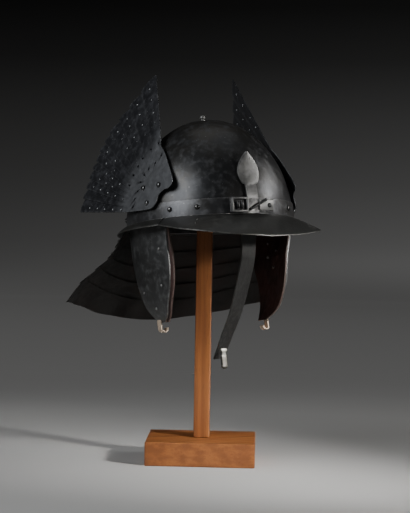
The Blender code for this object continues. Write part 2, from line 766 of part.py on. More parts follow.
def crown_underside(x, y):
    """How high the inside of the tipped skull is above this point of the floor."""
    halves = [SKULL_HALF_WIDTH - SKULL_WALL, SKULL_HALF_LENGTH - SKULL_WALL, SKULL_HEIGHT - SKULL_WALL]
    back = y - helmet_back()
    low, high = HELMET_RISE, HELMET_RISE + SKULL_HEIGHT * 2
    for _ in range(50):
        middle = (low + high) / 2
        rise = middle - HELMET_RISE
        own_y = back * math.cos(PITCH) - rise * math.sin(PITCH)
        own_z = back * math.sin(PITCH) + rise * math.cos(PITCH)
        inside = ((x - HELMET_ASIDE) / halves[0]) ** 2 + (own_y / halves[1]) ** 2 + (own_z / halves[2]) ** 2 < 1
        low, high = (middle, high) if inside else (low, middle)
    return low


def helmet_back():
    """The helmet's place along Y that brings its crown over the post."""
    return -(SKULL_HEIGHT - SKULL_WALL) * math.sin(PITCH)


def make_stand(finish, parent):
    half = POST_SIDE / 2
    reach = half * math.sqrt(2)
    turns = [math.pi / 4 * k + STAND_TURN for k in (1, 3, 5, 7)]
    corners = [(reach * math.cos(a), reach * math.sin(a)) for a in turns]
    top = min(crown_underside(x, y) for x, y in corners) - POST_GAP
    base = block(
        "stand_base",
        (-BASE_WIDTH / 2, -BASE_DEPTH / 2, 0),
        (BASE_WIDTH / 2, BASE_DEPTH / 2, BASE_HEIGHT),
        finish,
        parent,
        EDGE_SOFTENING,
    )
    post = block("stand_post", (-half, -half, BASE_HEIGHT + GAP), (half, half, top), finish, parent, EDGE_SOFTENING)
    return base, post


def empty(name, location, turn):
    made = bpy.data.objects.new(name, None)
    made.location = location
    made.rotation_euler = turn
    bpy.context.scene.collection.objects.link(made)
    return made


def main():
    clear_scene()
    steel = material("blackened_steel", (0.045, 0.048, 0.052), 0.32, 1.0)
    wing_steel = material("wing_steel", (0.065, 0.075, 0.085), 0.5, 1.0)
    cheek_steel = material("cheek_steel", (0.06, 0.065, 0.06), 0.42, 1.0)
    guard_steel = material("neck_guard_steel", (0.03, 0.026, 0.024), 0.55, 1.0)
    bright_steel = material("bright_steel", (0.45, 0.45, 0.43), 0.35, 1.0)
    leather = material("lining_leather", (0.05, 0.018, 0.012), 0.7, 0.0)
    strap_leather = material("strap_leather", (0.03, 0.03, 0.032), 0.6, 0.0)
    wood = material("stand_wood", (0.36, 0.15, 0.06), 0.5, 0.0)

    helmet = empty("helmet", (HELMET_ASIDE, helmet_back(), HELMET_RISE), (-PITCH, 0, 0))
    stand = empty("stand", (0, 0, 0), (0, 0, STAND_TURN))

    make_skull(steel, helmet)
    make_band(steel, helmet)
    make_peak(steel, helmet)
    make_rim(steel, helmet)
    make_finial(bright_steel, helmet)
    make_leaf(bright_steel, helmet)
    make_bracket(bright_steel, helmet)
    for word, side in (("right", -1), ("left", 1)):
        make_wing(f"wing_{word}", side, wing_steel, helmet)
        make_cheek(f"cheek_plate_{word}", side, cheek_steel, helmet)
        make_lining(f"cheek_lining_{word}", side, leather, helmet)
    for index in range(len(LAME_TABLE["side"]) - 1):
        make_lame(index, guard_steel, helmet)
    make_strap(strap_leather, helmet)
    make_clasp(bright_steel, helmet)
    make_stand(wood, stand)


main()
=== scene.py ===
# Winged cavalry helmet on a plain wooden stand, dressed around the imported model.
# Metres, +Z up. The helmet's pieces are modelled level about its rim, then tipped back on the post.

import math

import bmesh
import bpy
from mathutils import Matrix, Vector, noise


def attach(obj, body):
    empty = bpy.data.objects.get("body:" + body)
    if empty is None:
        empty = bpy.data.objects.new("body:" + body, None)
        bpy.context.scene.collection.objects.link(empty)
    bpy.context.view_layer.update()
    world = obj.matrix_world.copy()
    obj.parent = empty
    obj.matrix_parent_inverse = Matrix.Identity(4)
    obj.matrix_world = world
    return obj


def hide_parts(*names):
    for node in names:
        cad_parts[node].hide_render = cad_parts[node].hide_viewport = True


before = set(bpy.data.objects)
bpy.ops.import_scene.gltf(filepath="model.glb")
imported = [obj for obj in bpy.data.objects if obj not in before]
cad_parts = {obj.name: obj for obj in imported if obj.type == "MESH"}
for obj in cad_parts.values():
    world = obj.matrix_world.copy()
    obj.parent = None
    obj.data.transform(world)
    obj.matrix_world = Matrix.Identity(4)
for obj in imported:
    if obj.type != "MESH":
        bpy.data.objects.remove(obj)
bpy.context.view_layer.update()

# Pose of the helmet on its stand
HELMET_RISE = 0.3095
HELMET_ASIDE = -0.0018
PITCH = math.radians(8)
GAP = 0.0003

# Skull
SKULL_HALF_WIDTH = 0.105
SKULL_HALF_LENGTH = 0.112
SKULL_HEIGHT = 0.135
SKULL_WALL = 0.0020
SKULL_TURNS = 144
SKULL_ROWS = 40
SKULL_WOBBLE = 0.00045

# Brow band
BAND_HEIGHT = 0.0200
BAND_THICK = 0.0014
BAND_RIVET_ANGLES = (37, 56, 118, 150)
BAND_RIPPLE = 0.00022

# Peak
PEAK_THICK = 0.0016
PEAK_END = math.radians(60)
PEAK_REACH = 0.046
PEAK_DROP = 0.0320
PEAK_TABLE = {
    "share": (0.00, 0.30, 0.55, 0.70, 0.85, 1.00),
    "reach": (1.00, 1.00, 0.97, 0.80, 0.50, 0.28),
    "drop": (1.00, 0.90, 0.71, 0.58, 0.42, 0.27),
}
PEAK_RIVETS = ((0.60, 0.36), (0.60, 0.62))
PEAK_RIVET_RADIUS = 0.0013
# Angle below which the peak's outer edge is brighter: wear, and partly a painted highlight of the lit edge
PEAK_HIGHLIGHT_LIMIT = math.radians(-20)
PEAK_RIPPLE = 0.0005
PEAK_HOLLOW = 0.15

# Turned-out rim behind the peak
RIM_REACH = 0.0125
RIM_DROP = 0.0085
RIM_THICK = 0.0016
RIM_CURL = 1.4

# Crown finial
FINIAL_RADIUS = 0.0040
FINIAL_HEIGHT = 0.0075
WASHER_RADIUS = 0.0062
WASHER_THICK = 0.0014
FINIAL_BACK = 0.0085

# Leaf plate and its bracket
LEAF_WIDTH = 0.029
LEAF_TOP = 0.078
LEAF_SHOULDER = 0.037
STEM_WIDTH = 0.0150
STEM_FOOT = 0.0006
LEAF_THICK = 0.0020
LEAF_STANDOFF = 0.0026
LEAF_LEAN = 0.0115
LEAF_DISH = 0.0014
LEAF_STEP = 0.0004
LEAF_RIPPLE = 0.00035
LEAF_TABLE = {
    "share": (0.00, 0.14, 0.34, 0.58, 0.80, 1.00),
    "width": (0.66, 0.86, 1.00, 0.88, 0.56, 0.10),
}
BRIDGE_HALF = 0.0300
BRIDGE_HEIGHT = 0.0165
BRIDGE_THICK = 0.0020
BRIDGE_RIVET = 0.0225
FRAME_WIDTH = 0.0215
FRAME_HEIGHT = 0.0185
FRAME_BAR = 0.0026
FRAME_DEPTH = 0.0042
FRAME_CENTRE = -0.0190
FRAME_SINK = 0.0012
FRAME_ROLL = 0.0007
NUT_SIDE = 0.0092
NUT_DEPTH = 0.0050
NUT_SPLIT = 0.0005
NUT_ROLL = 0.0009
# Small bright domes that paint glints on the split nut
NUT_GLINT_RADIUS = 0.0013
NUT_GLINT_HEIGHT = 0.0007
NUT_GLINT_RISE = 0.001
TIE_PLACE = 0.0045
TIE_TURN = math.radians(-28)
TIE_CORNERS = ((-0.0125, -0.0034, -0.0016), (0.0140, 0.0010, 0.0016))
TIE_ROLL = 0.0005
PLATE_PLACE = 0.0215
PLATE_CORNERS = ((-0.0150, -0.0012, -0.0062), (0.0080, 0.0010, 0.0068))
PLATE_ROLL = 0.0004
CLAMP_ROLL = 0.00025

# Wings, in the wing's own plane: u runs back and v up from the front corner
WING_CORNER_SIDE = SKULL_HALF_WIDTH - 0.0200
WING_CORNER_FORE = SKULL_HALF_LENGTH - 0.0410
WING_CORNER_RISE = 0.0450
WING_FLARE = math.radians(12)
WING_LEAN = math.radians(18)
WING_THICK = 0.0012
FEATHER_STEP = 0.0011
FEATHER_CROWN = 0.0007
FEATHER_FADE = 0.18
# How far out along the feathers the paler tone reaches
PALER_REACH = 0.32
WING_BACK = 0.1915
WING_RISE = 0.160
WING_TABLE = {
    "tip_u": (0.51, 0.62, 0.716, 0.8, 0.875, 0.905, 0.938, 0.947, 0.968, 0.975, 0.98, 0.985, 0.975),
    "tip_v": (1.0, 0.86, 0.75, 0.652, 0.555, 0.475, 0.403, 0.319, 0.255, 0.171, 0.085, 0.0, -0.116),
    "root_u": (0.227, 0.245, 0.313, 0.355, 0.376, 0.392, 0.402, 0.407, 0.412, 0.415, 0.418, 0.42, 0.423),
    "root_v": (0.325, 0.2, 0.156, 0.125, 0.081, 0.044, 0.006, -0.031, -0.069, -0.1, -0.131, -0.163, -0.2),
}
WING_HOLES = {
    "u": (0.185, 0.229, 0.284, 0.314, 0.337, 0.346, 0.356, 0.361, 0.256, 0.319, 0.387, 0.419, 0.44, 0.459),
    "v": (0.233, 0.176, 0.138, 0.09, 0.033, -0.041, -0.104, -0.168, 0.35, 0.312, 0.245, 0.185, 0.11, 0.027),
}
WING_HOLE_RADIUS = 0.0013
PUNCH_REACH = 0.006
SHOULDER_TABLE = {
    "u": (0.18, 0.12, 0.107, 0.067, 0.02, 0.0, 0.085, 0.167),
    "v": (-0.212, -0.175, -0.106, -0.069, -0.056, 0.0, 0.145, 0.2625),
}
SHOULDER_CENTRE = (0.24, 0.03)
FEATHER_NOTCH = 0.0045
FEATHER_ROUND = 0.0010
SHOULDER_RINGS = (0.0, 0.3, 0.6, 0.97, 1.0)
WING_BOW = 0.0030
WING_SEAT = (0.058, 0.004)
WING_SEAT_REACH = 0.085
WING_RIVET_RADIUS = 0.0036
WING_RIVET_HEIGHT = 0.0028
WING_RIVETS = ((0.2855, -0.024), (0.126, -0.022), (0.208, -0.158))
# Embossed dots along each feather, as shares of its length, and how far across it they lie
FEATHER_DOTS = (
    (0.96, 0.80, 0.61, 0.47),
    (0.97, 0.81, 0.64, 0.48),
    (0.96, 0.82, 0.61),
    (0.95, 0.79, 0.59),
    (),
    (0.93, 0.68),
    (0.85, 0.62),
    (0.76, 0.59, 0.38),
    (0.86, 0.69, 0.53),
    (0.94, 0.77, 0.59, 0.40, 0.20),
    (),
    (0.90, 0.73, 0.56, 0.37, 0.18),
)
DOT_ACROSS = 0.62
DOT_SHIFT = (-0.0075, -0.0020)
DOT_RADIUS = 0.0014
DOT_HEIGHT = 0.0011

# Cheek pieces
CHEEK_TOP = -0.0030
CHEEK_LENGTH = 0.1230
CHEEK_THICK = 0.0014
CHEEK_WIDTH = 0.09
CHEEK_RIPPLE = 0.00025
CHEEK_FLANGE = 0.0006
FLANGE_START = 0.90
FLANGE_SHARE = 0.04
LEFT_CHEEK_SET = 0.0075
LEFT_CHEEK_TURN = 0.05
CHEEK_TABLE = {
    "share": (0.00, 0.20, 0.42, 0.64, 0.84, 0.94, 1.00),
    "fore": (0.054, 0.054, 0.054, 0.050, 0.039, 0.028, 0.015),
    "rear": (-0.040, -0.040, -0.034, -0.023, -0.014, -0.007, 0.000),
    "shrink": (0.0000, 0.0012, 0.0035, 0.0070, 0.0130, 0.0200, 0.0260),
}
CHEEK_RIVET_RADIUS = 0.0022
CHEEK_RIVET_HEIGHT = 0.0016
CHEEK_RIVETS = ((0.27, 0.041), (0.64, 0.037), (0.86, 0.015), (0.69, -0.006))
LINING_RIVETS = ((0.17, -0.014), (0.26, 0.011), (0.44, 0.009), (0.32, -0.007))
# Dents in the cheek plates: share down, distance forward, radius and depth
CHEEK_DENTS = ((0.28, -0.012, 0.010, 0.0006), (0.45, 0.018, 0.014, 0.0007), (0.72, 0.004, 0.012, 0.0005))
LINING_THICK = 0.0022
LINING_MARGIN = 0.0035
LINING_RISE = 0.0120
LINING_SLACK = 0.0013
LINING_FOLDS = 210
LINING_RIVET_RISE = 0.0006
LINING_RIVET_SHANK = 0.002

# Leather loops below the cheek pieces
LOOP_WIDTH = 0.00992
LOOP_LENGTH = 0.0150
LOOP_RISE = 0.004
LOOP_ASIDE = 0.004
LOOP_RADIUS = 0.0032
LOOP_THICK = 0.0016
LOOP_LEAN = 0.0015
LOOP_CURL = 2.2 * math.pi

# Neck guard
LAME_THICK = 0.0013
LAME_OVERLAP = 0.22
LAME_SHIFT = 0.0027
LAME_RAGGED = 0.0006
LAST_LAME_RAGGED = 0.0016
LAME_RIPPLE = 0.0006
LAME_RIVET_PLACE = (0.93, 0.62)
LAME_RIVET_RADIUS = 0.0018
LAME_RIVET_HEIGHT = 0.0012
LAME_TABLE = {
    "side": (0.1065, 0.115, 0.122, 0.135, 0.150, 0.163),
    "fore": (0.034, 0.045, 0.055, 0.069, 0.087, 0.103),
    "drop": (-0.0035, -0.024, -0.038, -0.052, -0.068, -0.091),
    "back": (0.1165, 0.130, 0.143, 0.156, 0.168, 0.180),
    "back_drop": (-0.0023, -0.029, -0.050, -0.071, -0.092, -0.112),
}
LAMES = len(LAME_TABLE["side"]) - 1

# Chin strap and its metal end
STRAP_WIDTH = 0.0205
STRAP_END_WIDTH = 0.0150
STRAP_THICK = 0.0026
STRAP_PLACE = -0.003
STRAP_CURL = 0.0006
STRAP_RIPPLE = 0.0004
STRAP_LENGTH = 0.2
STRAP_TABLE = {
    "share": (0.0, 0.075, 0.17, 0.24, 0.31, 0.44, 0.64, 0.845, 1.0),
    "fore": (0.1054, 0.1058, 0.1054, 0.1035, 0.1000, 0.0865, 0.0625, 0.0330, 0.0100),
    "drop": (0.0120, -0.0040, -0.0250, -0.0400, -0.0550, -0.0800, -0.1165, -0.1480, -0.1730),
}
CLASP_WIDTH = 0.0095
CLASP_LENGTH = 0.0260
CLASP_THICK = 0.0040
CLASP_SHARE = 0.93
CLASP_SIDES = 24
CLASP_SQUARE = 0.6
CLASP_FOOT = 0.9
CLASP_BAND = 0.47
CLASP_TABLE = {
    "share": (0.0, 0.06, 0.10, 0.16, 0.30, 0.36, 0.42, 0.78, 0.84, 0.90, 0.96, 1.0),
    "width": (0.44, 0.50, 0.50, 0.40, 0.40, 0.50, 0.47, 0.44, 0.50, 0.44, 0.30, 0.12),
}

RIVET_RADIUS = 0.0030
BAND_RIVET_RADIUS = 0.0034
RIVET_HEIGHT = 0.0022
EDGE_ROLL = 0.00035
EDGE_INSET = 0.0009

# How far each piece's coat is rubbed off, from 0 to 1; on the peak's right edge, the clamp's frame and
# plate and the wing shoulder's edge this is partly a painted highlight
WEAR = {
    "band": 0.8, "rivet": 0.2, "peak": 0.25, "peak_right_wear_and_highlight": 0.9, "peak_rivet": 0.9, "rim": 0.2,
    "knob": 0.7, "leaf": 0.6, "stem": 0.25, "bar": 0.35, "bar_edge": 0.7, "frame": 0.8, "plate": 0.9,
    "feather": 0.12, "shoulder": 0.25, "cheek": 0.22, "lining_rivet": 0.8, "loop": 0.75, "lame": 0.7,
    "lame_rivet": 0.5, "strap": 0.8, "clasp": 0.1, "clasp_band": 0.8,
}

# Camera
CAMERA_DISTANCE = 2.040
CAMERA_TURN = math.radians(-27)
CAMERA_HEIGHT = 0.3425
CAMERA_TILT = math.radians(2.12)
CAMERA_ROLL = math.radians(1.0)
CAMERA_ASIDE = 0.0006
CAMERA_LENS = 109.9

# Studio: how each softbox is seen from the helmet, its size and power, and its tint
AIM = Vector((0, 0, 0.36))
LOW_AIM = Vector((-0.03, 0, 0))
LOW_SPREAD = math.radians(30)
COOL, WARM, NEUTRAL = (0.96, 0.98, 1.0), (1.0, 0.98, 0.95), (1.0, 0.99, 0.97)
OVERHEAD = (0.98, 0.99, 1.0)
SOFTBOX_KEYS = ("turn", "rise", "away", "size", "power", "colour")
SOFTBOXES = {
    "left": (-80, 27, 1.6, (1.05, 0.85), 14, COOL),
    "right": (82, 24, 1.7, (0.50, 0.42), 3.6, WARM),
    "low": (24, 8, 1.06, (0.10, 0.10), 0.6, WARM),
    "side": (62, 22, 1.5, (0.16, 0.16), 5, NEUTRAL),
    "key": (24, 8, 1.10, (0.12, 0.12), 1.4, WARM),
    "top": (150, 78, 1.9, (1.4, 1.4), 2.2, OVERHEAD),
}

# Floor and wall
FLOOR_REACH = 3.4
# Centre of the painted pool of light on the floor, in front of the helmet
FLOOR_POOL_CENTRE = 0.35
WALL_HEIGHT = 4.0
STAGE_SIDES = 96
# Painted pool of light on the floor: its colour and its painted glow, by distance from the pool's centre
FLOOR_PAINTED_POOL = (
    (0.0, 0.54), (0.09, 0.47), (0.14, 0.40), (0.18, 0.34), (0.245, 0.27), (0.33, 0.10), (0.40, 0.0),
)
FLOOR_PAINTED_GLOW = (
    (0.0, 0.0), (0.14, 0.015), (0.20, 0.025), (0.33, 0.070), (0.40, 0.092), (0.60, 0.084), (1.0, 0.069),
)
FLOOR_ROUGHNESS = 0.9
# Painted glow of the wall by height, brightest low down as if lit from below, and its change from the
# viewer's left to right
WALL_PAINTED_GLOW = (
    (0.0, 0.067), (0.049, 0.045), (0.101, 0.030), (0.153, 0.0195), (0.2055, 0.0085), (0.2525, 0.0037),
    (1.0, 0.003),
)
TONE_TINT = (1.0, 0.995, 0.98)
WALL_SPAN = 0.9
WALL_SHARES = (0.9, 1.6)
WALL_FADE = 0.15
SKY = 0.004

# Finishes: coat, worn coat, patina and bare metal as (red, green, blue), then how rough, how
# metallic, how deep the relief and how fine the clouds, and for the wing a paler tone toward its roots
STEEL_KEYS = ("dark", "light", "patina", "bright", "rough", "metallic", "relief", "patchy", "paler_rootward")
STEELS = {
    # Near-black finish that paints shade on the clamp's bar, nut halves, slanting tie and end rivet
    "painted_shade": (
        (0.020, 0.020, 0.021), (0.040, 0.040, 0.041), (0.022, 0.021, 0.019), (0.25, 0.25, 0.25),
        (0.34, 0.46), 0.8, 0.8,
    ),
    "dome": (
        (0.062, 0.064, 0.068), (0.110, 0.112, 0.117), (0.080, 0.076, 0.069), (0.34, 0.34, 0.34),
        (0.32, 0.44), 0.75, 0.6, 11,
    ),
    "band": (
        (0.105, 0.107, 0.113), (0.17, 0.172, 0.18), (0.085, 0.082, 0.078), (0.36, 0.36, 0.36),
        (0.32, 0.42), 0.8, 0.7,
    ),
    "peak": (
        (0.085, 0.086, 0.083), (0.125, 0.126, 0.120), (0.085, 0.082, 0.074), (0.20, 0.20, 0.19),
        (0.38, 0.50), 0.8, 0.8,
    ),
    "clasp": (
        (0.055, 0.055, 0.052), (0.11, 0.11, 0.10), (0.05, 0.045, 0.038), (0.34, 0.33, 0.30),
        (0.36, 0.50), 0.8, 0.8,
    ),
    "cheek": (
        (0.11, 0.112, 0.114), (0.17, 0.173, 0.175), (0.085, 0.086, 0.085), (0.30, 0.30, 0.29),
        (0.36, 0.50), 0.8, 1.2,
    ),
    "guard": (
        (0.008, 0.008, 0.007), (0.016, 0.015, 0.014), (0.014, 0.009, 0.008), (0.05, 0.047, 0.042),
        (0.48, 0.66), 0.5, 1.2,
    ),
    "wing": (
        (0.038, 0.039, 0.044), (0.068, 0.070, 0.078), (0.043, 0.044, 0.049), (0.45, 0.46, 0.47),
        (0.42, 0.56), 0.7, 0.9, 16, (0.16, 0.165, 0.175),
    ),
    "bright": (
        (0.24, 0.24, 0.24), (0.34, 0.34, 0.34), (0.17, 0.17, 0.167), (0.30, 0.30, 0.29),
        (0.40, 0.52), 0.8, 1.2, 60,
    ),
    "rivet": (
        (0.07, 0.072, 0.076), (0.12, 0.122, 0.125), (0.05, 0.048, 0.044), (0.45, 0.45, 0.44),
        (0.20, 0.30), 0.9, 0.6, 60,
    ),
}
# Leathers: hide, worn hide and raw edge
LEATHERS = {
    "cheek": ((0.030, 0.012, 0.010), (0.060, 0.022, 0.017), (0.085, 0.055, 0.045)),
    "tan": ((0.10, 0.03, 0.02), (0.34, 0.24, 0.17), (0.62, 0.50, 0.38)),
    "strap": ((0.009, 0.009, 0.0085), (0.024, 0.024, 0.023), (0.045, 0.043, 0.038)),
}
# The stand's wood: grain, its paler streaks and its pores
WOOD_TONES = ((0.18, 0.056, 0.013), (0.28, 0.098, 0.024), (0.085, 0.026, 0.007))


def helmet_back():
    """The helmet's place along Y that brings its crown over the post."""
    return -(SKULL_HEIGHT - SKULL_WALL) * math.sin(PITCH)


HELMET = Matrix.Translation((HELMET_ASIDE, helmet_back(), HELMET_RISE)) @ Matrix.Rotation(-PITCH, 4, "X")


# Tables, curves and small maths


def read(table, column, at, key="share"):
    """The column's value at this share, on a smooth curve through the table's rows."""
    keys, values = table[key], table[column]
    last = len(keys) - 1
    place = min(max(at, keys[0]), keys[-1])
    row = max(i for i in range(last) if keys[i] <= place or i == 0)
    span = keys[row + 1] - keys[row]
    t = (place - keys[row]) / span
    before, after = max(row - 1, 0), min(row + 2, last)
    slope_in = (values[row + 1] - values[before]) / (keys[row + 1] - keys[before]) * span
    slope_out = (values[after] - values[row]) / (keys[after] - keys[row]) * span
    return (
        values[row] * (1 + 2 * t) * (1 - t) ** 2
        + slope_in * t * (1 - t) ** 2
        + values[row + 1] * t * t * (3 - 2 * t)
        + slope_out * t * t * (t - 1)
    )


def spaced(first, last, count):
    return [first + (last - first) * i / (count - 1) for i in range(count)]


def edged(first, last, count, length, inset=EDGE_INSET):
    """Spaced values with one more close to each end, so that worn edges stay narrow."""
    margin = (last - first) * inset / length
    return [first, *spaced(first + margin, last - margin, count), last]


def around(count):
    """The angles of this many equal steps round a circle."""
    return [2 * math.pi * k / count for k in range(count)]


def smooth_path(points, steps):
    """Points on a Catmull-Rom curve through these points of the plane."""
    path = []
    for i in range(len(points) - 1):
        p0, p1, p2, p3 = (Vector(points[min(max(i + k, 0), len(points) - 1)]) for k in (-1, 0, 1, 2))
        for step in range(steps):
            t = step / steps
            path.append(
                tuple(
                    0.5
                    * (
                        2 * p1
                        + (p2 - p0) * t
                        + (2 * p0 - 5 * p1 + 4 * p2 - p3) * t * t
                        + (3 * p1 - p0 - 3 * p2 + p3) * t ** 3
                    )
                )
            )
    path.append(tuple(points[-1]))
    return path


def ease(value):
    value = min(max(value, 0.0), 1.0)
    return value * value * (3 - 2 * value)


def wobble(at, scale, seed=0.0):
    return noise.noise(at * scale + Vector((seed, seed, seed)))


# Mesh building


def new_mesh_maker():
    made = bmesh.new()
    # Per-point masks: wear, with painted highlights on some pieces, and the wing's paler tone toward its
    # roots
    made.verts.layers.float.new("wear_and_highlight")
    made.verts.layers.float.new("paler_rootward")
    return made


def join_rings(made, rings):
    """Adds the faces between each closed ring of points and the next."""
    for low, high in zip(rings, rings[1:]):
        for i in range(len(low)):
            k = (i + 1) % len(low)
            made.faces.new((low[i], low[k], high[k], high[i]))


def shell(made, point, across, along, thick, wrap=False, worn=None):
    """Adds a closed wall: point(u, v, depth) gives its inner face at depth 0 and its outer one at thick."""
    layer = made.verts.layers.float["wear_and_highlight"]
    grids = []
    for depth in (0, thick):
        grid = []
        for v in along:
            row = []
            for u in across:
                vert = made.verts.new(point(u, v, depth))
                vert[layer] = worn(u, v) if worn else 0.0
                row.append(vert)
            grid.append(row)
        grids.append(grid)
    inner, outer = grids
    width = len(across)
    steps = width if wrap else width - 1
    for j in range(len(along) - 1):
        for i in range(steps):
            k = (i + 1) % width
            for grid in grids:
                made.faces.new((grid[j][i], grid[j][k], grid[j + 1][k], grid[j + 1][i]))
    for j in (0, len(along) - 1):
        for i in range(steps):
            k = (i + 1) % width
            made.faces.new((inner[j][i], inner[j][k], outer[j][k], outer[j][i]))
    if not wrap:
        for j in range(len(along) - 1):
            for i in (0, width - 1):
                made.faces.new((inner[j][i], inner[j + 1][i], outer[j + 1][i], outer[j][i]))


def dome(made, seat, outward, radius, height, worn=1.0, shank=0.0008, sides=14):
    """Adds a closed domed head at the seat, with a short shank below it."""
    layer = made.verts.layers.float["wear_and_highlight"]
    turn = Vector(outward).normalized().to_track_quat("Z", "Y").to_matrix().to_4x4()
    turn.translation = Vector(seat)
    rings = []
    levels = [(1.0, -shank), (1.0, 0.0), (0.93, 0.38), (0.78, 0.66), (0.55, 0.87), (0.28, 0.97)]
    for share, level in levels:
        lift = level if level < 0 else level * height
        ring = []
        for a in around(sides):
            reach = radius * share
            vert = made.verts.new(turn @ Vector((reach * math.cos(a), reach * math.sin(a), lift)))
            # Rubbing grows toward the crown, so the head's base stays dark: a rubbed crown and a painted
            # shade ring round the head.
            vert[layer] = worn * max(0.0, min(1.0, level * 1.4))
            ring.append(vert)
        rings.append(ring)
    join_rings(made, rings)
    made.faces.new(reversed(rings[0]))
    crown = made.verts.new(turn @ Vector((0, 0, height)))
    crown[layer] = worn
    for i in range(sides):
        made.faces.new((rings[-1][i], rings[-1][(i + 1) % sides], crown))


def rolled_block(made, low, high, turn, roll, worn=0.5):
    """Adds a box between two corners with rounded edges, placed by a matrix."""
    layer = made.verts.layers.float["wear_and_highlight"]
    cube = bmesh.ops.create_cube(made, size=1)["verts"]
    for vert in cube:
        vert.co = Vector(low[i] + (high[i] - low[i]) * (vert.co[i] + 0.5) for i in range(3))
        vert[layer] = worn
    edges = list({edge for vert in cube for edge in vert.link_edges})
    rounded = bmesh.ops.bevel(
        made, geom=edges, offset=roll, offset_type="OFFSET", segments=2, profile=0.5, affect="EDGES"
    )
    verts = {vert for face in rounded["faces"] for vert in face.verts}
    verts |= {vert for vert in cube if vert.is_valid}
    bmesh.ops.transform(made, matrix=turn, verts=list(verts))


def add_piece(name, made, finish, nodes=(), roll=EDGE_ROLL, matrix=HELMET, angle=35):
    """A finished piece of the scene: placed, shaded, rolled along its sharp edges and tied to the model."""
    bmesh.ops.recalc_face_normals(made, faces=made.faces)
    bmesh.ops.transform(made, matrix=matrix, verts=made.verts)
    mesh = bpy.data.meshes.new(name)
    made.to_mesh(mesh)
    made.free()
    mesh.materials.append(finish)
    mesh.shade_smooth()
    mesh.set_sharp_from_angle(angle=math.radians(angle))
    piece = bpy.data.objects.new(name, mesh)
    bpy.context.scene.collection.objects.link(piece)
    if roll:
        bevel = piece.modifiers.new("rolled edges", "BEVEL")
        bevel.width = roll
        bevel.segments = 2
        bevel.limit_method = "ANGLE"
        bevel.angle_limit = math.radians(40)
    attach(piece, "root")
    if nodes:
        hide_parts(*nodes)
    return piece


# Materials


class Recipe:
    """A node material under construction, with its pattern sources."""

    def __init__(self, name, metallic):
        self.material = bpy.data.materials.new(name)
        self.material.use_nodes = True
        self.tree = self.material.node_tree
        self.shader = self.tree.nodes["Principled BSDF"]
        self.shader.inputs["Metallic"].default_value = metallic
        self.coordinates = self.tree.nodes.new("ShaderNodeTexCoord").outputs["Object"]
        self.normal = None

    def link(self, source, target):
        self.tree.links.new(source, target)

    def noise(self, scale, detail=4, stretch=(1, 1, 1), turn=(0, 0, 0)):
        mapping = self.tree.nodes.new("ShaderNodeMapping")
        mapping.inputs["Scale"].default_value = stretch
        mapping.inputs["Rotation"].default_value = turn
        self.link(self.coordinates, mapping.inputs["Vector"])
        pattern = self.tree.nodes.new("ShaderNodeTexNoise")
        pattern.inputs["Scale"].default_value = scale
        pattern.inputs["Detail"].default_value = detail
        self.link(mapping.outputs["Vector"], pattern.inputs["Vector"])
        return pattern.outputs["Fac"]

    def cells(self, scale):
        pattern = self.tree.nodes.new("ShaderNodeTexVoronoi")
        pattern.inputs["Scale"].default_value = scale
        self.link(self.coordinates, pattern.inputs["Vector"])
        return pattern.outputs["Distance"]

    def between(self, source, low, high, to_low=0.0, to_high=1.0):
        part = self.tree.nodes.new("ShaderNodeMapRange")
        part.interpolation_type = "SMOOTHSTEP"
        for name, value in zip(("From Min", "From Max", "To Min", "To Max"), (low, high, to_low, to_high)):
            part.inputs[name].default_value = value
        self.link(source, part.inputs["Value"])
        return part.outputs["Result"]

    def times(self, first, second):
        product = self.tree.nodes.new("ShaderNodeMath")
        product.operation = "MULTIPLY"
        for socket, value in zip(product.inputs, (first, second)):
            if isinstance(value, (int, float)):
                socket.default_value = value
            else:
                self.link(value, socket)
        return product.outputs["Value"]

    def mix(self, factor, first, second):
        part = self.tree.nodes.new("ShaderNodeMix")
        part.data_type = "RGBA"
        self.link(factor, part.inputs[0])
        for socket, value in ((part.inputs[6], first), (part.inputs[7], second)):
            if isinstance(value, tuple):
                socket.default_value = (*value, 1)
            else:
                self.link(value, socket)
        return part.outputs[2]

    def painted(self, name):
        """A value that the mesh carries at each of its points."""
        attribute = self.tree.nodes.new("ShaderNodeAttribute")
        attribute.attribute_name = name
        return attribute.outputs["Fac"]

    def bump(self, height, depth):
        part = self.tree.nodes.new("ShaderNodeBump")
        part.inputs["Distance"].default_value = depth
        part.inputs["Strength"].default_value = 1.0
        self.link(height, part.inputs["Height"])
        if self.normal:
            self.link(self.normal, part.inputs["Normal"])
        self.normal = part.outputs["Normal"]

    def done(self, colour, roughness):
        self.link(colour, self.shader.inputs["Base Color"])
        self.link(roughness, self.shader.inputs["Roughness"])
        if self.normal:
            self.link(self.normal, self.shader.inputs["Normal"])
        return self.material


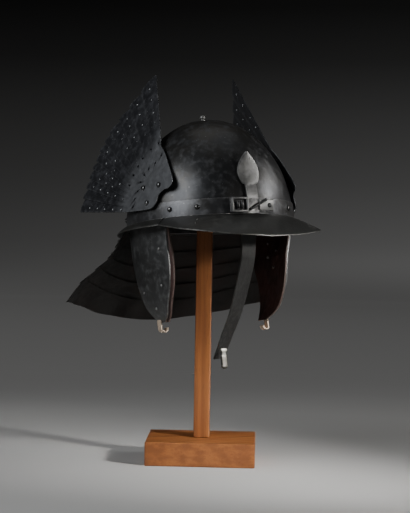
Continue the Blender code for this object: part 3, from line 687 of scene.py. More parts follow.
def steel(name, dark, light, patina, bright, rough, metallic=0.85, relief=1.0, patchy=16, paler_rootward=None):
    """Old steel: a dark coat gone thin in clouds, a warmer patina, bright specks and rubbed edges; on some
    pieces the rubbed mask also paints highlights.
    """
    recipe = Recipe(name, metallic)
    clouds = recipe.noise(patchy, 5)
    mottle = recipe.noise(130, 6)
    grain = recipe.noise(900, 3)
    brushed = recipe.noise(160, 4, (1, 1, 0.12), (0.3, 0.5, 0))
    colour = recipe.mix(recipe.between(clouds, 0.42, 0.66), dark, patina)
    colour = recipe.mix(recipe.between(mottle, 0.45, 0.75), colour, light)
    colour = recipe.mix(recipe.times(recipe.between(brushed, 0.55, 0.75), 0.45), colour, light)
    colour = recipe.mix(recipe.between(recipe.noise(420, 3), 0.70, 0.76), colour, bright)
    if paler_rootward:
        colour = recipe.mix(recipe.painted("paler_rootward"), colour, paler_rootward)
    # Brightened where the mask says: rubbed metal, and on some pieces a painted highlight.
    wear_and_highlight_mask = recipe.times(recipe.painted("wear_and_highlight"), recipe.between(recipe.noise(240, 4), 0.30, 0.60))
    colour = recipe.mix(wear_and_highlight_mask, colour, bright)
    low, high = rough
    roughness = recipe.between(mottle, 0.35, 0.70, low, high)
    recipe.bump(grain, 0.00005 * relief)
    recipe.bump(mottle, 0.00022 * relief)
    recipe.bump(clouds, 0.0005 * relief)
    return recipe.done(colour, roughness)


def leather(name, dark, light, edge, rough=(0.45, 0.75), relief=1.0, patchy=30):
    """Leather with a pebbled grain, worn clouds and paler raw edges."""
    recipe = Recipe(name, 0.0)
    clouds = recipe.noise(patchy, 5)
    creases = recipe.noise(260, 5, (1, 1, 0.35))
    pebbles = recipe.cells(1100)
    colour = recipe.mix(recipe.between(clouds, 0.38, 0.68), dark, light)
    colour = recipe.mix(recipe.times(recipe.between(creases, 0.55, 0.75), 0.5), colour, light)
    wear_and_highlight_mask = recipe.times(recipe.painted("wear_and_highlight"), recipe.between(recipe.noise(500, 3), 0.25, 0.5))
    colour = recipe.mix(wear_and_highlight_mask, colour, edge)
    roughness = recipe.between(creases, 0.3, 0.7, *rough)
    recipe.bump(pebbles, 0.00022 * relief)
    recipe.bump(creases, 0.0006 * relief)
    return recipe.done(colour, roughness)


def wood(name, dark, light, pore, along):
    """Straight-grained wood: long streaks and short dark pores along one axis."""
    recipe = Recipe(name, 0.0)

    def drawn_out(scale, detail, share):
        stretch = tuple(share if axis == along else 1.0 for axis in "xyz")
        return recipe.noise(scale, detail, stretch, (0, 0, math.radians(4)))

    bands = drawn_out(110, 6, 0.06)
    fine = drawn_out(520, 5, 0.03)
    pores = drawn_out(1400, 2, 0.05)
    colour = recipe.mix(recipe.between(bands, 0.36, 0.64), dark, light)
    colour = recipe.mix(recipe.times(recipe.between(fine, 0.50, 0.72), 0.5), colour, dark)
    colour = recipe.mix(recipe.times(recipe.between(pores, 0.60, 0.72), 0.6), colour, pore)
    roughness = recipe.between(fine, 0.3, 0.7, 0.42, 0.62)
    recipe.bump(fine, 0.00010)
    recipe.bump(pores, 0.00008)
    return recipe.done(colour, roughness)


# Places on the helmet


def skull_point(angle, height, out=0.0):
    """A point on the skull at this angle from the front, or this far outside it."""
    share = math.sqrt(max(0.0, 1 - (height / SKULL_HEIGHT) ** 2))
    x = math.sin(angle) * (SKULL_HALF_WIDTH * share + out)
    y = -math.cos(angle) * (SKULL_HALF_LENGTH * share + out)
    return Vector((x, y, height))


def skull_outward(angle, height):
    """The direction straight out of the skull there."""
    at = skull_point(angle, height)
    halves = (SKULL_HALF_WIDTH, SKULL_HALF_LENGTH, SKULL_HEIGHT)
    return Vector(at[i] / halves[i] ** 2 for i in range(3)).normalized()


def depth_to_skull(point, outward):
    """How far below this point, against the outward direction, the skull or its band lies."""
    band = GAP + BAND_THICK if point.z < BAND_HEIGHT + WING_RIVET_RADIUS * 2 else 0.0
    halves = [half + band for half in (SKULL_HALF_WIDTH, SKULL_HALF_LENGTH, SKULL_HEIGHT)]
    near, far = 0.0, SKULL_HALF_WIDTH
    for _ in range(40):
        middle = (near + far) / 2
        at = point - outward * middle
        outside = sum((at[i] / halves[i]) ** 2 for i in range(3)) > 1
        near, far = (middle, far) if outside else (near, middle)
    return near


def wing_place(u, v, out, side):
    """A point of the wing in the helmet's frame, bowed out where it passes over the dome."""
    away = math.hypot(u - WING_SEAT[0], v - WING_SEAT[1]) / WING_SEAT_REACH
    out += WING_BOW * max(0.0, 1 - away ** 2) ** 2
    back = Vector((math.sin(WING_FLARE), math.cos(WING_FLARE), 0))
    up = Vector((-math.sin(WING_LEAN), 0, math.cos(WING_LEAN)))
    outward = back.cross(up) if back.cross(up).x > 0 else up.cross(back)
    at = Vector((WING_CORNER_SIDE, -WING_CORNER_FORE, WING_CORNER_RISE))
    at += back * u + up * v + outward.normalized() * out
    return Vector((at.x * side, at.y, at.z))


def wing_outward(side):
    return (wing_place(WING_BACK, 0, 1, side) - wing_place(WING_BACK, 0, 0, side)).normalized()


def wing_rays():
    """Each feather boundary's root and tip in the wing's plane, from the front edge round."""
    rows = zip(*(WING_TABLE[k] for k in ("tip_u", "tip_v", "root_u", "root_v")))
    return [
        (Vector((ru * WING_BACK, rv * WING_RISE)), Vector((tu * WING_BACK, tv * WING_RISE)))
        for tu, tv, ru, rv in rows
    ]


def cheek_point(fore, height, out, side):
    """A point of the cheek's curved wall; the left piece hangs a little inward and turned."""
    share = min(max((CHEEK_TOP - height) / CHEEK_LENGTH, 0), 1)
    shrink = read(CHEEK_TABLE, "shrink", share)
    if side > 0:
        ramp = min(share * 3, 1)
        shrink += ramp * (LEFT_CHEEK_SET + LEFT_CHEEK_TURN * (max(CHEEK_TABLE["fore"]) - fore))
    level = math.sqrt(1 - (max(height, 0) / SKULL_HEIGHT) ** 2)
    bend = math.sqrt(1 - (fore / (SKULL_HALF_LENGTH * level)) ** 2)
    across = (SKULL_HALF_WIDTH * level - shrink) * bend
    return Vector((side * (across + out), -fore, height))


def lining_face():
    """How far outside the skull's rim line the lining's outer face lies: just inside the skull."""
    return -SKULL_WALL - 4 * GAP


def lame_place(level, across, out):
    """A point of the neck guard's surface: an arc through its two fore corners and its back."""
    rows = dict(LAME_TABLE, share=tuple(range(LAMES + 1)))
    side, fore, drop, back, back_drop = (
        read(rows, column, level) for column in ("side", "fore", "drop", "back", "back_drop")
    )
    centre = (back ** 2 - side ** 2 - fore ** 2) / (2 * (back - fore))
    radius = back - centre + out
    angle = math.atan2(side, fore - centre) * across
    flat = across * across * (2 - across * across)
    height = back_drop + (drop - back_drop) * flat
    return Vector((radius * math.sin(angle), centre + radius * math.cos(angle), height))


def strap_frame(share):
    at = Vector((STRAP_PLACE, -read(STRAP_TABLE, "fore", share), read(STRAP_TABLE, "drop", share)))
    step = 0.01
    low, high = max(share - step, 0), min(share + step, 1)
    run = Vector(
        (
            0,
            read(STRAP_TABLE, "fore", low) - read(STRAP_TABLE, "fore", high),
            read(STRAP_TABLE, "drop", high) - read(STRAP_TABLE, "drop", low),
        )
    ).normalized()
    return at, Vector((0, run.z, -run.y))


# Pieces


def make_skull(finish):
    """The dome, beaten smooth but not perfectly so."""
    made = new_mesh_maker()
    rises = [math.radians(a) for a in spaced(0, 88, SKULL_ROWS)]
    rims = []
    for wall in (SKULL_WALL, 0):
        halves = [half - wall for half in (SKULL_HALF_WIDTH, SKULL_HALF_LENGTH, SKULL_HEIGHT)]
        rings = []
        for e in rises:
            ring = []
            for a in around(SKULL_TURNS):
                at = Vector(
                    (
                        halves[0] * math.cos(e) * math.sin(a),
                        -halves[1] * math.cos(e) * math.cos(a),
                        halves[2] * math.sin(e),
                    )
                )
                beaten = wobble(at, 24) + 0.5 * wobble(at, 55, 7.3)
                at += at.normalized() * SKULL_WOBBLE * beaten * ease(at.z / BAND_HEIGHT / 2)
                ring.append(made.verts.new(at))
            rings.append(ring)
        join_rings(made, rings)
        crown = made.verts.new((0, 0, halves[2]))
        for i in range(SKULL_TURNS):
            made.faces.new((rings[-1][i], rings[-1][(i + 1) % SKULL_TURNS], crown))
        rims.append(rings[0])
    join_rings(made, rims)
    return add_piece("dome", made, finish, ["skull"])


def make_band(finish, rivet_finish):
    made = new_mesh_maker()
    rivets = new_mesh_maker()

    def point(angle, height, depth):
        ripple = BAND_RIPPLE * wobble(skull_point(angle, height), 40, 3.1) * ease(depth / BAND_THICK)
        return skull_point(angle, height, GAP + depth + ripple)

    def worn(_, height):
        return WEAR["band"] if height in (0.0, BAND_HEIGHT) else 0.0

    rows = edged(0.0, BAND_HEIGHT, 4, BAND_HEIGHT)
    shell(made, point, around(SKULL_TURNS), rows, BAND_THICK, True, worn)
    middle = BAND_HEIGHT / 2
    for angle in BAND_RIVET_ANGLES:
        for side in (-1, 1):
            turn = math.radians(angle) * side
            seat = skull_point(turn, middle, GAP + BAND_THICK)
            outward = skull_outward(turn, middle)
            dome(rivets, seat, outward, BAND_RIVET_RADIUS, RIVET_HEIGHT, WEAR["rivet"])
    add_piece("band_rivets", rivets, rivet_finish, (), 0.0)
    return add_piece("band", made, finish, ["brow_band"])


def peak_point(angle, share, depth):
    along = abs(angle) / PEAK_END
    reach = PEAK_REACH * read(PEAK_TABLE, "reach", along)
    drop = PEAK_DROP * read(PEAK_TABLE, "drop", along)
    fall = drop * ((1 - PEAK_HOLLOW) * share + PEAK_HOLLOW * share * share)
    at = skull_point(angle, 0.0, GAP * 2 + BAND_THICK + reach * share)
    ripple = PEAK_RIPPLE * wobble(at, 18, 5.0) * ease(share * 2)
    return at + Vector((0, 0, depth - fall - PEAK_THICK + ripple))


def make_peak(finish):
    """The peak, its outer edge rubbed bright, and on its right part brighter still, partly a painted
    highlight of the lit edge.
    """
    made = new_mesh_maker()

    def worn(angle, share):
        if share < 1:
            return 0.0
        return WEAR["peak_right_wear_and_highlight"] if angle < PEAK_HIGHLIGHT_LIMIT else WEAR["peak"]

    angles = edged(-PEAK_END, PEAK_END, 95, PEAK_END * SKULL_HALF_LENGTH * 2)
    shell(made, peak_point, angles, edged(0, 1, 12, PEAK_REACH), PEAK_THICK, False, worn)
    for along, share in PEAK_RIVETS:
        for side in (-1, 1):
            seat = peak_point(PEAK_END * along * side, share, PEAK_THICK)
            dome(made, seat, (0, 0, 1), PEAK_RIVET_RADIUS, PEAK_RIVET_RADIUS * 0.7, WEAR["peak_rivet"])
    return add_piece("sun_peak", made, finish, ["peak"])


def make_rim(finish):
    made = new_mesh_maker()
    start = PEAK_END + GAP / SKULL_HALF_WIDTH * 3

    def point(angle, share, depth):
        at = skull_point(angle, 0.0, GAP * 2 + BAND_THICK + RIM_REACH * share)
        return at + Vector((0, 0, depth - RIM_DROP * share ** RIM_CURL - RIM_THICK))

    def worn(_, share):
        return WEAR["rim"] if share == 1 else 0.0

    turns = spaced(start, 2 * math.pi - start, 121)
    shell(made, point, turns, edged(0, 1, 6, RIM_REACH), RIM_THICK, False, worn)
    return add_piece("turned_rim", made, finish, ["rear_rim"])


def make_finial(finish):
    """The small knob on its washer, at the crown."""
    made = new_mesh_maker()
    layer = made.verts.layers.float["wear_and_highlight"]
    slope = 1 - (FINIAL_BACK / SKULL_HALF_LENGTH) ** 2
    foot = SKULL_HEIGHT * math.sqrt(slope) + GAP
    neck = foot + WASHER_THICK
    profile = [
        (WASHER_RADIUS * 0.92, foot),
        (WASHER_RADIUS, foot + WASHER_THICK * 0.4),
        (WASHER_RADIUS * 0.88, neck),
        (FINIAL_RADIUS * 0.66, neck + WASHER_THICK * 0.25),
        (FINIAL_RADIUS * 0.66, neck + FINIAL_HEIGHT * 0.14),
    ]
    for e in range(-50, 85, 15):
        lift = FINIAL_HEIGHT * (0.56 + 0.44 * math.sin(math.radians(e)))
        profile.append((FINIAL_RADIUS * math.cos(math.radians(e)), neck + lift))
    sides = 28
    rings = []
    for radius, height in profile:
        ring = []
        for a in around(sides):
            ring.append(made.verts.new((radius * math.cos(a), FINIAL_BACK + radius * math.sin(a), height)))
            ring[-1][layer] = WEAR["knob"]
        rings.append(ring)
    join_rings(made, rings)
    made.faces.new(rings[0])
    made.faces.new(rings[-1])
    return add_piece("crown_knob", made, finish, ["crown_finial"], 0.0002)


def leaf_half_width(height):
    if height <= LEAF_SHOULDER:
        return STEM_WIDTH / 2
    share = (height - LEAF_SHOULDER) / (LEAF_TOP - LEAF_SHOULDER)
    return LEAF_WIDTH / 2 * read(LEAF_TABLE, "width", share)


def leaf_fore(height):
    """How far forward the back of the leaf plate stands at this height."""
    standing = SKULL_HALF_LENGTH + GAP * 2 + BAND_THICK
    dome_fore = -skull_point(0, max(height, 0)).y + LEAF_STANDOFF
    blend = min(max((height - BAND_HEIGHT) / (LEAF_SHOULDER - BAND_HEIGHT), 0), 1)
    lean = LEAF_LEAN * max(0, (height - LEAF_SHOULDER) / (LEAF_TOP - LEAF_SHOULDER)) ** 2
    return standing + (min(dome_fore, standing) - standing) * blend + lean


def make_leaf(finish):
    """The leaf-shaped plate: its blade a little dished, with a step where the stem begins."""
    made = new_mesh_maker()

    def point(across, height, depth):
        blade = height > LEAF_SHOULDER
        bow = LEAF_DISH * across * across if blade else 0.0
        step = LEAF_STEP if blade and depth else 0.0
        at = Vector((across * leaf_half_width(height), bow - leaf_fore(height) - depth - step, height))
        return at + Vector((0, LEAF_RIPPLE * wobble(at, 70, 1.7), 0)) if blade else at

    def worn(across, height):
        return WEAR["leaf"] if abs(across) == 1 or height > LEAF_SHOULDER else WEAR["stem"]

    heights = [STEM_FOOT, STEM_FOOT + EDGE_INSET, *spaced(0.004, LEAF_SHOULDER - 0.0004, 14)]
    heights += spaced(LEAF_SHOULDER + 0.0002, LEAF_TOP, 26)
    shell(made, point, edged(-1, 1, 11, LEAF_WIDTH), heights, LEAF_THICK, False, worn)
    return add_piece("leaf_shield", made, finish, ["leaf_plate"])


def bracket_point(x, up, depth):
    """A point of the bar: x across the front, up from its middle line, depth outward."""
    out = GAP * 3 + BAND_THICK + LEAF_THICK + depth
    around = math.asin(x / (SKULL_HALF_WIDTH + out))
    at = skull_point(around, 0.0, out)
    return Vector((at.x, at.y, BAND_HEIGHT / 2 + up))


def make_bracket(finish, painted_shade_finish):
    """The bar across the stem: square frame, split nut, slanting tie and riveted end; the bar, nut halves,
    tie and end rivet take a near-black painted shade, and the frame and plate are rubbed bright, partly as
    a painted highlight.
    """
    made = new_mesh_maker()
    # These pieces take the near-black finish: shade painted into the frame's hollow and along the dark
    # diagonal.
    dark = new_mesh_maker()

    def bar(across, up, depth):
        return bracket_point(BRIDGE_HALF * across, BRIDGE_HEIGHT / 2 * up, depth)

    def worn(across, up):
        return WEAR["bar_edge"] if abs(across) == 1 or abs(up) == 1 else WEAR["bar"]

    columns = edged(-1, 1, 31, BRIDGE_HALF * 2)
    shell(dark, bar, columns, edged(-1, 1, 7, BRIDGE_HEIGHT), BRIDGE_THICK, False, worn)
    centre = bracket_point(FRAME_CENTRE, 0, BRIDGE_THICK)
    lie = Matrix.Rotation(math.asin(FRAME_CENTRE / SKULL_HALF_WIDTH), 4, "Z")
    lie.translation = centre
    half_w, half_h = FRAME_WIDTH / 2, FRAME_HEIGHT / 2
    bars = (
        ((-half_w, half_h - FRAME_BAR), (half_w, half_h)),
        ((-half_w, -half_h), (half_w, FRAME_BAR - half_h)),
        ((-half_w, -half_h), (FRAME_BAR - half_w, half_h)),
        ((half_w - FRAME_BAR, -half_h), (half_w, half_h)),
    )
    # The frame bars are rubbed bright all over: partly wear, partly a painted highlight of edges catching
    # the light.
    for (x0, z0), (x1, z1) in bars:
        rolled_block(made, (x0, -FRAME_DEPTH, z0), (x1, FRAME_SINK, z1), lie, FRAME_ROLL, WEAR["frame"])
    half_nut = NUT_SIDE / 2
    for side in (-1, 1):
        low, high = sorted((NUT_SPLIT * side, half_nut * side))
        corners = (low, -NUT_DEPTH, -half_nut), (high, FRAME_SINK, half_nut)
        rolled_block(dark, *corners, lie, NUT_ROLL, WEAR["rivet"])
        # Two small raised domes on the dark nut halves, whose bright finish paints the nut's glints.
        spot = lie @ Vector((half_nut * side * 0.6, -NUT_DEPTH, NUT_GLINT_RISE))
        dome(made, spot, (0, -1, 0.2), NUT_GLINT_RADIUS, NUT_GLINT_HEIGHT)
    # The slanting tie is a near-black block that paints the shade of a dark diagonal line.
    tie = Matrix.Translation(bracket_point(TIE_PLACE, 0, BRIDGE_THICK))
    rolled_block(dark, *TIE_CORNERS, tie @ Matrix.Rotation(TIE_TURN, 4, "Y"), TIE_ROLL, 0.0)
    # The plate is rubbed bright: partly wear, partly a painted highlight.
    plate = Matrix.Translation(bracket_point(PLATE_PLACE, 0, BRIDGE_THICK))
    plate @= Matrix.Rotation(math.asin(PLATE_PLACE / SKULL_HALF_WIDTH), 4, "Z")
    rolled_block(made, *PLATE_CORNERS, plate, PLATE_ROLL, WEAR["plate"])
    seat = bracket_point(BRIDGE_RIVET, 0, BRIDGE_THICK + PLATE_CORNERS[1][1])
    dome(dark, seat, (seat.x, seat.y, 0), RIVET_RADIUS, RIVET_HEIGHT, WEAR["rivet"])
    add_piece("clamp_bar", dark, painted_shade_finish, ["leaf_bracket"], CLAMP_ROLL)
    return add_piece("leaf_clamp", made, finish, ["leaf_bracket"], CLAMP_ROLL)


def feather_height(across, share):
    """How proud of the wing's back a feather's face is: a crowned strip that ends in a step."""
    fade = ease(share / FEATHER_FADE)
    proud = FEATHER_STEP * across ** 0.8 + FEATHER_CROWN * math.sin(math.pi * across)
    return WING_THICK + fade * proud


def feather_spot(rays, index, across, share, longer=0.0):
    """A point of one feather in the wing's plane."""
    (root_a, tip_a), (root_b, tip_b) = rays[index], rays[index + 1]
    at = (root_a + (tip_a - root_a) * share).lerp(root_b + (tip_b - root_b) * share, across)
    run = (tip_a - root_a).lerp(tip_b - root_b, across).normalized()
    return at + run * longer


def build_wing_sheet(side):
    """The pierced sheet of a wing: feathers in overlapping strips round a flat shoulder plate."""
    made = new_mesh_maker()
    layer = made.verts.layers.float["wear_and_highlight"]
    paler_rootward_layer = made.verts.layers.float["paler_rootward"]
    rays = wing_rays()
    shares = spaced(0, 1, 15)
    columns = spaced(0, 1, 7)
    count = len(rays) - 1
    cached = {}

    def vert(at, out, worn=0.0, paler_rootward=1.0):
        key = (round(at[0], 6), round(at[1], 6), round(out, 6))
        if key not in cached:
            cached[key] = made.verts.new(wing_place(at[0], at[1], out, side))
            cached[key][layer] = worn
            cached[key][paler_rootward_layer] = paler_rootward
        return cached[key]

    def face(*corners):
        unique = list(dict.fromkeys(corners))
        if len(unique) > 2:
            made.faces.new(unique)

    # The sheet is paler toward the feather roots and over the shoulder plate, and darker toward the tips.
    def on(index, across, share, back=False):
        out = 0.0 if back else feather_height(across, share)
        worn = WEAR["feather"] if across == 1 and share > FEATHER_FADE else 0.0
        return vert(feather_spot(rays, index, across, share), out, worn, 1 - ease(share / PALER_REACH))

    def tip(index, across, back=False):
        longer = FEATHER_NOTCH * across + FEATHER_ROUND * math.sin(math.pi * across)
        out = 0.0 if back else feather_height(across, 1)
        return vert(feather_spot(rays, index, across, 1, longer), out, WEAR["feather"], 0.0)

    for i in range(count):
        for a, b in zip(shares, shares[1:]):
            for c, d in zip(columns, columns[1:]):
                for back in (False, True):
                    face(on(i, c, a, back), on(i, c, b, back), on(i, d, b, back), on(i, d, a, back))
            if i:
                face(on(i - 1, 1, a), on(i - 1, 1, b), on(i, 0, b), on(i, 0, a))
        for c, d in zip(columns, columns[1:]):
            for back in (False, True):
                face(on(i, c, 1, back), tip(i, c, back), tip(i, d, back), on(i, d, 1, back))
            face(tip(i, c), tip(i, d), tip(i, d, True), tip(i, c, True))
        after = [on(i + 1, 0, 1)] if i < count - 1 else []
        face(on(i, 1, 1), tip(i, 1), tip(i, 1, True), on(i, 1, 1, True), *after)
    for a, b in zip(shares, shares[1:]):
        face(on(0, 0, a), on(0, 0, b), on(0, 0, b, True), on(0, 0, a, True))
        face(on(count - 1, 1, a), on(count - 1, 1, b), on(count - 1, 1, b, True), on(count - 1, 1, a, True))

    roots = [tuple(feather_spot(rays, i, c, 0)) for i in range(count) for c in columns[:-1]]
    roots.append(tuple(feather_spot(rays, count - 1, 1, 0)))
    corners = [(u * WING_BACK, v * WING_RISE) for u, v in zip(SHOULDER_TABLE["u"], SHOULDER_TABLE["v"])]
    edge = smooth_path([roots[-1], *corners, roots[0]], 6)[1:-1]
    outline = roots + edge
    centre = Vector((SHOULDER_CENTRE[0] * WING_BACK, SHOULDER_CENTRE[1] * WING_RISE))

    def inward(at, ring):
        return centre.lerp(Vector(at), ring)

    for i, a in enumerate(outline):
        b = outline[(i + 1) % len(outline)]
        free = i >= len(roots) - 1
        for low, high in zip(SHOULDER_RINGS, SHOULDER_RINGS[1:]):
            # The shoulder's free edge is rubbed pale: partly wear, partly a painted highlight where the
            # edge catches the light.
            worn = WEAR["shoulder"] if free and high == 1 else 0.0
            for out in (0.0, WING_THICK):
                face(
                    vert(inward(a, low), out),
                    vert(inward(a, high), out, worn),
                    vert(inward(b, high), out, worn),
                    vert(inward(b, low), out),
                )
        if free:
            face(vert(a, 0.0), vert(b, 0.0), vert(b, WING_THICK), vert(a, WING_THICK))
    bmesh.ops.recalc_face_normals(made, faces=made.faces)
    return made


def build_punches(side):
    """The round punches that pierce the wing."""
    made = bmesh.new()
    for u, v in zip(WING_HOLES["u"], WING_HOLES["v"]):
        rings = []
        for out in (-PUNCH_REACH, PUNCH_REACH):
            ring = []
            for a in around(14):
                at_u = u * WING_BACK + WING_HOLE_RADIUS * math.cos(a)
                at_v = v * WING_RISE + WING_HOLE_RADIUS * math.sin(a)
                ring.append(made.verts.new(wing_place(at_u, at_v, out, side)))
            rings.append(ring)
            made.faces.new(ring)
        join_rings(made, rings)
    bmesh.ops.recalc_face_normals(made, faces=made.faces)
    return made


def loose_object(name, made):
    mesh = bpy.data.meshes.new(name)
    made.to_mesh(mesh)
    made.free()
    obj = bpy.data.objects.new(name, mesh)
    bpy.context.scene.collection.objects.link(obj)
    return obj


def pierced(sheet, punches):
    """The sheet's mesh with the punches taken out of it, as a mesh maker."""
    whole = loose_object("sheet", sheet)
    tool = loose_object("punches", punches)
    cut = whole.modifiers.new("pierced", "BOOLEAN")
    cut.operation = "DIFFERENCE"
    cut.object = tool
    bpy.context.view_layer.update()
    graph = bpy.context.evaluated_depsgraph_get()
    made = bmesh.new()
    made.from_mesh(whole.evaluated_get(graph).to_mesh())
    bpy.data.objects.remove(whole)
    bpy.data.objects.remove(tool)
    return made


def make_wing(word, side, finish, rivet_finish):
    made = pierced(build_wing_sheet(side), build_punches(side))
    rivets = new_mesh_maker()
    rays = wing_rays()
    out = wing_outward(side)
    for index, shares in enumerate(FEATHER_DOTS):
        for share in shares:
            at = feather_spot(rays, index, DOT_ACROSS, share) + Vector(DOT_SHIFT)
            face = feather_height(DOT_ACROSS, share)
            dome(made, wing_place(*at, face, side), out, DOT_RADIUS, DOT_HEIGHT)
            dome(made, wing_place(*at, 0.0, side), -out, DOT_RADIUS, DOT_HEIGHT)
    for u, v in WING_RIVETS:
        seat = wing_place(u * WING_BACK, v * WING_RISE, WING_THICK, side)
        shank = depth_to_skull(seat, out) - GAP * 2
        dome(rivets, seat, out, WING_RIVET_RADIUS, WING_RIVET_HEIGHT, WEAR["rivet"], shank, 20)
    add_piece(f"wing_rivets_{word}", rivets, rivet_finish, (), 0.0)
    return add_piece(f"feathered_wing_{word}", made, finish, [f"wing_{word}"], 0.0)


def cheek_edges(share):
    return read(CHEEK_TABLE, "rear", share), read(CHEEK_TABLE, "fore", share)


def cheek_dent(fore, share):
    """How deep the plate is dented there."""
    depth = 0.0
    for at_share, at_fore, radius, deep in CHEEK_DENTS:
        away = math.hypot(fore - at_fore, (share - at_share) * CHEEK_LENGTH) / radius
        depth += deep * max(0.0, 1 - away * away) ** 2
    return depth


def make_cheek(word, side, finish):
    """A cheek plate with a flanged fore edge, old dents and small rivets."""
    made = new_mesh_maker()
    face = lining_face() + GAP

    def point(across, share, depth):
        rear, fore = cheek_edges(share)
        at = rear + (fore - rear) * across
        height = CHEEK_TOP - CHEEK_LENGTH * share
        out = depth + face
        if depth:
            flange = CHEEK_FLANGE * ease((across - FLANGE_START) / FLANGE_SHARE)
            ripple = CHEEK_RIPPLE * wobble(Vector((at, share * CHEEK_LENGTH, side)), 45)
            out += flange + ripple - cheek_dent(at, share)
        return cheek_point(at, height, out, side)

    def worn(across, share):
        return WEAR["cheek"] if across in (0, 1) or share == 1 else 0.0

    across = edged(0, 1, 31, CHEEK_WIDTH)
    shell(made, point, across, edged(0, 1, 52, CHEEK_LENGTH), CHEEK_THICK, False, worn)
    for share, fore in CHEEK_RIVETS:
        out = face + CHEEK_THICK - cheek_dent(fore, share)
        at = cheek_point(fore, CHEEK_TOP - CHEEK_LENGTH * share, out, side)
        slope = fore / SKULL_HALF_LENGTH ** 2 * SKULL_HALF_WIDTH
        dome(made, at, (side, -slope, 0), CHEEK_RIVET_RADIUS, CHEEK_RIVET_HEIGHT)
    return add_piece(f"cheek_guard_{word}", made, finish, [f"cheek_plate_{word}"])


def make_lining(word, side, finish, rivet_finish):
    """The leather behind a cheek plate, with slack folds on its inner side."""
    made = new_mesh_maker()

    def point(across, down, depth):
        share = max(down, 0) / CHEEK_LENGTH
        rear, fore = cheek_edges(share)
        fore += LINING_MARGIN * min(1, share * 3)
        at = rear + (fore - rear) * across
        out = depth + lining_face() - LINING_THICK
        if not depth:
            slack = math.sin(at * LINING_FOLDS + 2.5 * wobble(Vector((at, down, 0)), 22)) * 0.5 + 0.5
            out -= LINING_SLACK * slack * math.sin(math.pi * across) * ease(share * 4)
        return cheek_point(at, CHEEK_TOP - down, out, side)

    def worn(across, down):
        return 1.0 if across in (0, 1) or down == CHEEK_LENGTH else 0.0

    rows = [-LINING_RISE, *edged(-LINING_RISE * 0.9, CHEEK_LENGTH, 58, CHEEK_LENGTH)]
    shell(made, point, edged(0, 1, 35, CHEEK_WIDTH), rows, LINING_THICK, False, worn)
    rivets = new_mesh_maker()
    for share, fore in LINING_RIVETS:
        face = lining_face() - LINING_THICK - LINING_RIVET_RISE
        seat = cheek_point(fore, CHEEK_TOP - CHEEK_LENGTH * share, face, side)
        radius, worn_head = CHEEK_RIVET_RADIUS * 0.8, WEAR["lining_rivet"]
        dome(rivets, seat, (-side, 0, 0), radius, CHEEK_RIVET_HEIGHT, worn_head, LINING_RIVET_SHANK)
    add_piece(f"lining_rivets_{word}", rivets, rivet_finish, (), 0.0)
    replaced = [f"cheek_lining_{word}"]
    return add_piece(f"cheek_leather_{word}", made, finish, replaced, 0.0005)


def make_loop(word, side, finish):
    """The folded leather loop below a cheek piece: straight down, then curled up behind."""
    made = new_mesh_maker()
    centre = sum(cheek_edges(1)) / 2
    straight = LOOP_LENGTH - LOOP_RADIUS

    def point(across, along, depth):
        turn = max(along - 0.5, 0) * LOOP_CURL
        drop = CHEEK_LENGTH - LOOP_RISE + straight * min(along * 2, 1)
        if along >= 0.5:
            drop += (LOOP_RADIUS + depth) * math.sin(turn)
        out = (LOOP_RADIUS + depth) * math.cos(turn) - LOOP_RADIUS * 0.6
        lean = LOOP_LEAN * math.sin((along - 0.5) * math.pi * 1.15)
        place = centre + (across - 0.5) * LOOP_WIDTH + lean + side * LOOP_ASIDE
        base = cheek_point(place, CHEEK_TOP - CHEEK_LENGTH, 0, side)
        out += lining_face() - LINING_THICK + LOOP_ASIDE
        return Vector((base.x + side * out, base.y, CHEEK_TOP - drop))

    def worn(across, _):
        return 1.0 if across in (0, 1) else WEAR["loop"]

    shell(made, point, edged(0, 1, 5, LOOP_WIDTH), spaced(0, 1, 25), LOOP_THICK, False, worn)
    return add_piece(f"leather_loop_{word}", made, finish, (), 0.0004)


def make_lame(index, finish):
    """One lame of the neck guard, its lower edge rubbed and a little uneven."""
    made = new_mesh_maker()
    top = index - (LAME_OVERLAP if index else 0.0)
    ragged_by = LAST_LAME_RAGGED if index == LAMES - 1 else LAME_RAGGED

    def point(across, share, depth):
        level = top + (index + 1 - top) * share
        at = lame_place(level, across, depth - LAME_THICK - LAME_SHIFT * (1 - share))
        ragged = ragged_by * wobble(Vector((at.x, at.y, index)), 35) * ease((share - 0.7) / 0.3)
        ripple = LAME_RIPPLE * wobble(at, 20, index * 3.7) * ease(1 - abs(share - 0.5) * 2)
        outward = Vector((at.x, at.y, 0)).normalized()
        return at + Vector((0, 0, ragged)) + outward * ripple

    def worn(across, share):
        return WEAR["lame"] if share == 1 or abs(across) == 1 else 0.0

    across = edged(-1, 1, 91, 0.4)
    shell(made, point, across, edged(0, 1, 9, 0.028), LAME_THICK, False, worn)
    rivet_across, rivet_share = LAME_RIVET_PLACE
    for side in (-1, 1):
        spot = point(rivet_across * side, rivet_share, LAME_THICK)
        outward = Vector((spot.x, spot.y - 0.02, 0.05))
        dome(made, spot, outward, LAME_RIVET_RADIUS, LAME_RIVET_HEIGHT, WEAR["lame_rivet"])
    return add_piece(f"guard_lame_{index + 1}", made, finish, [f"neck_lame_{index + 1}"])


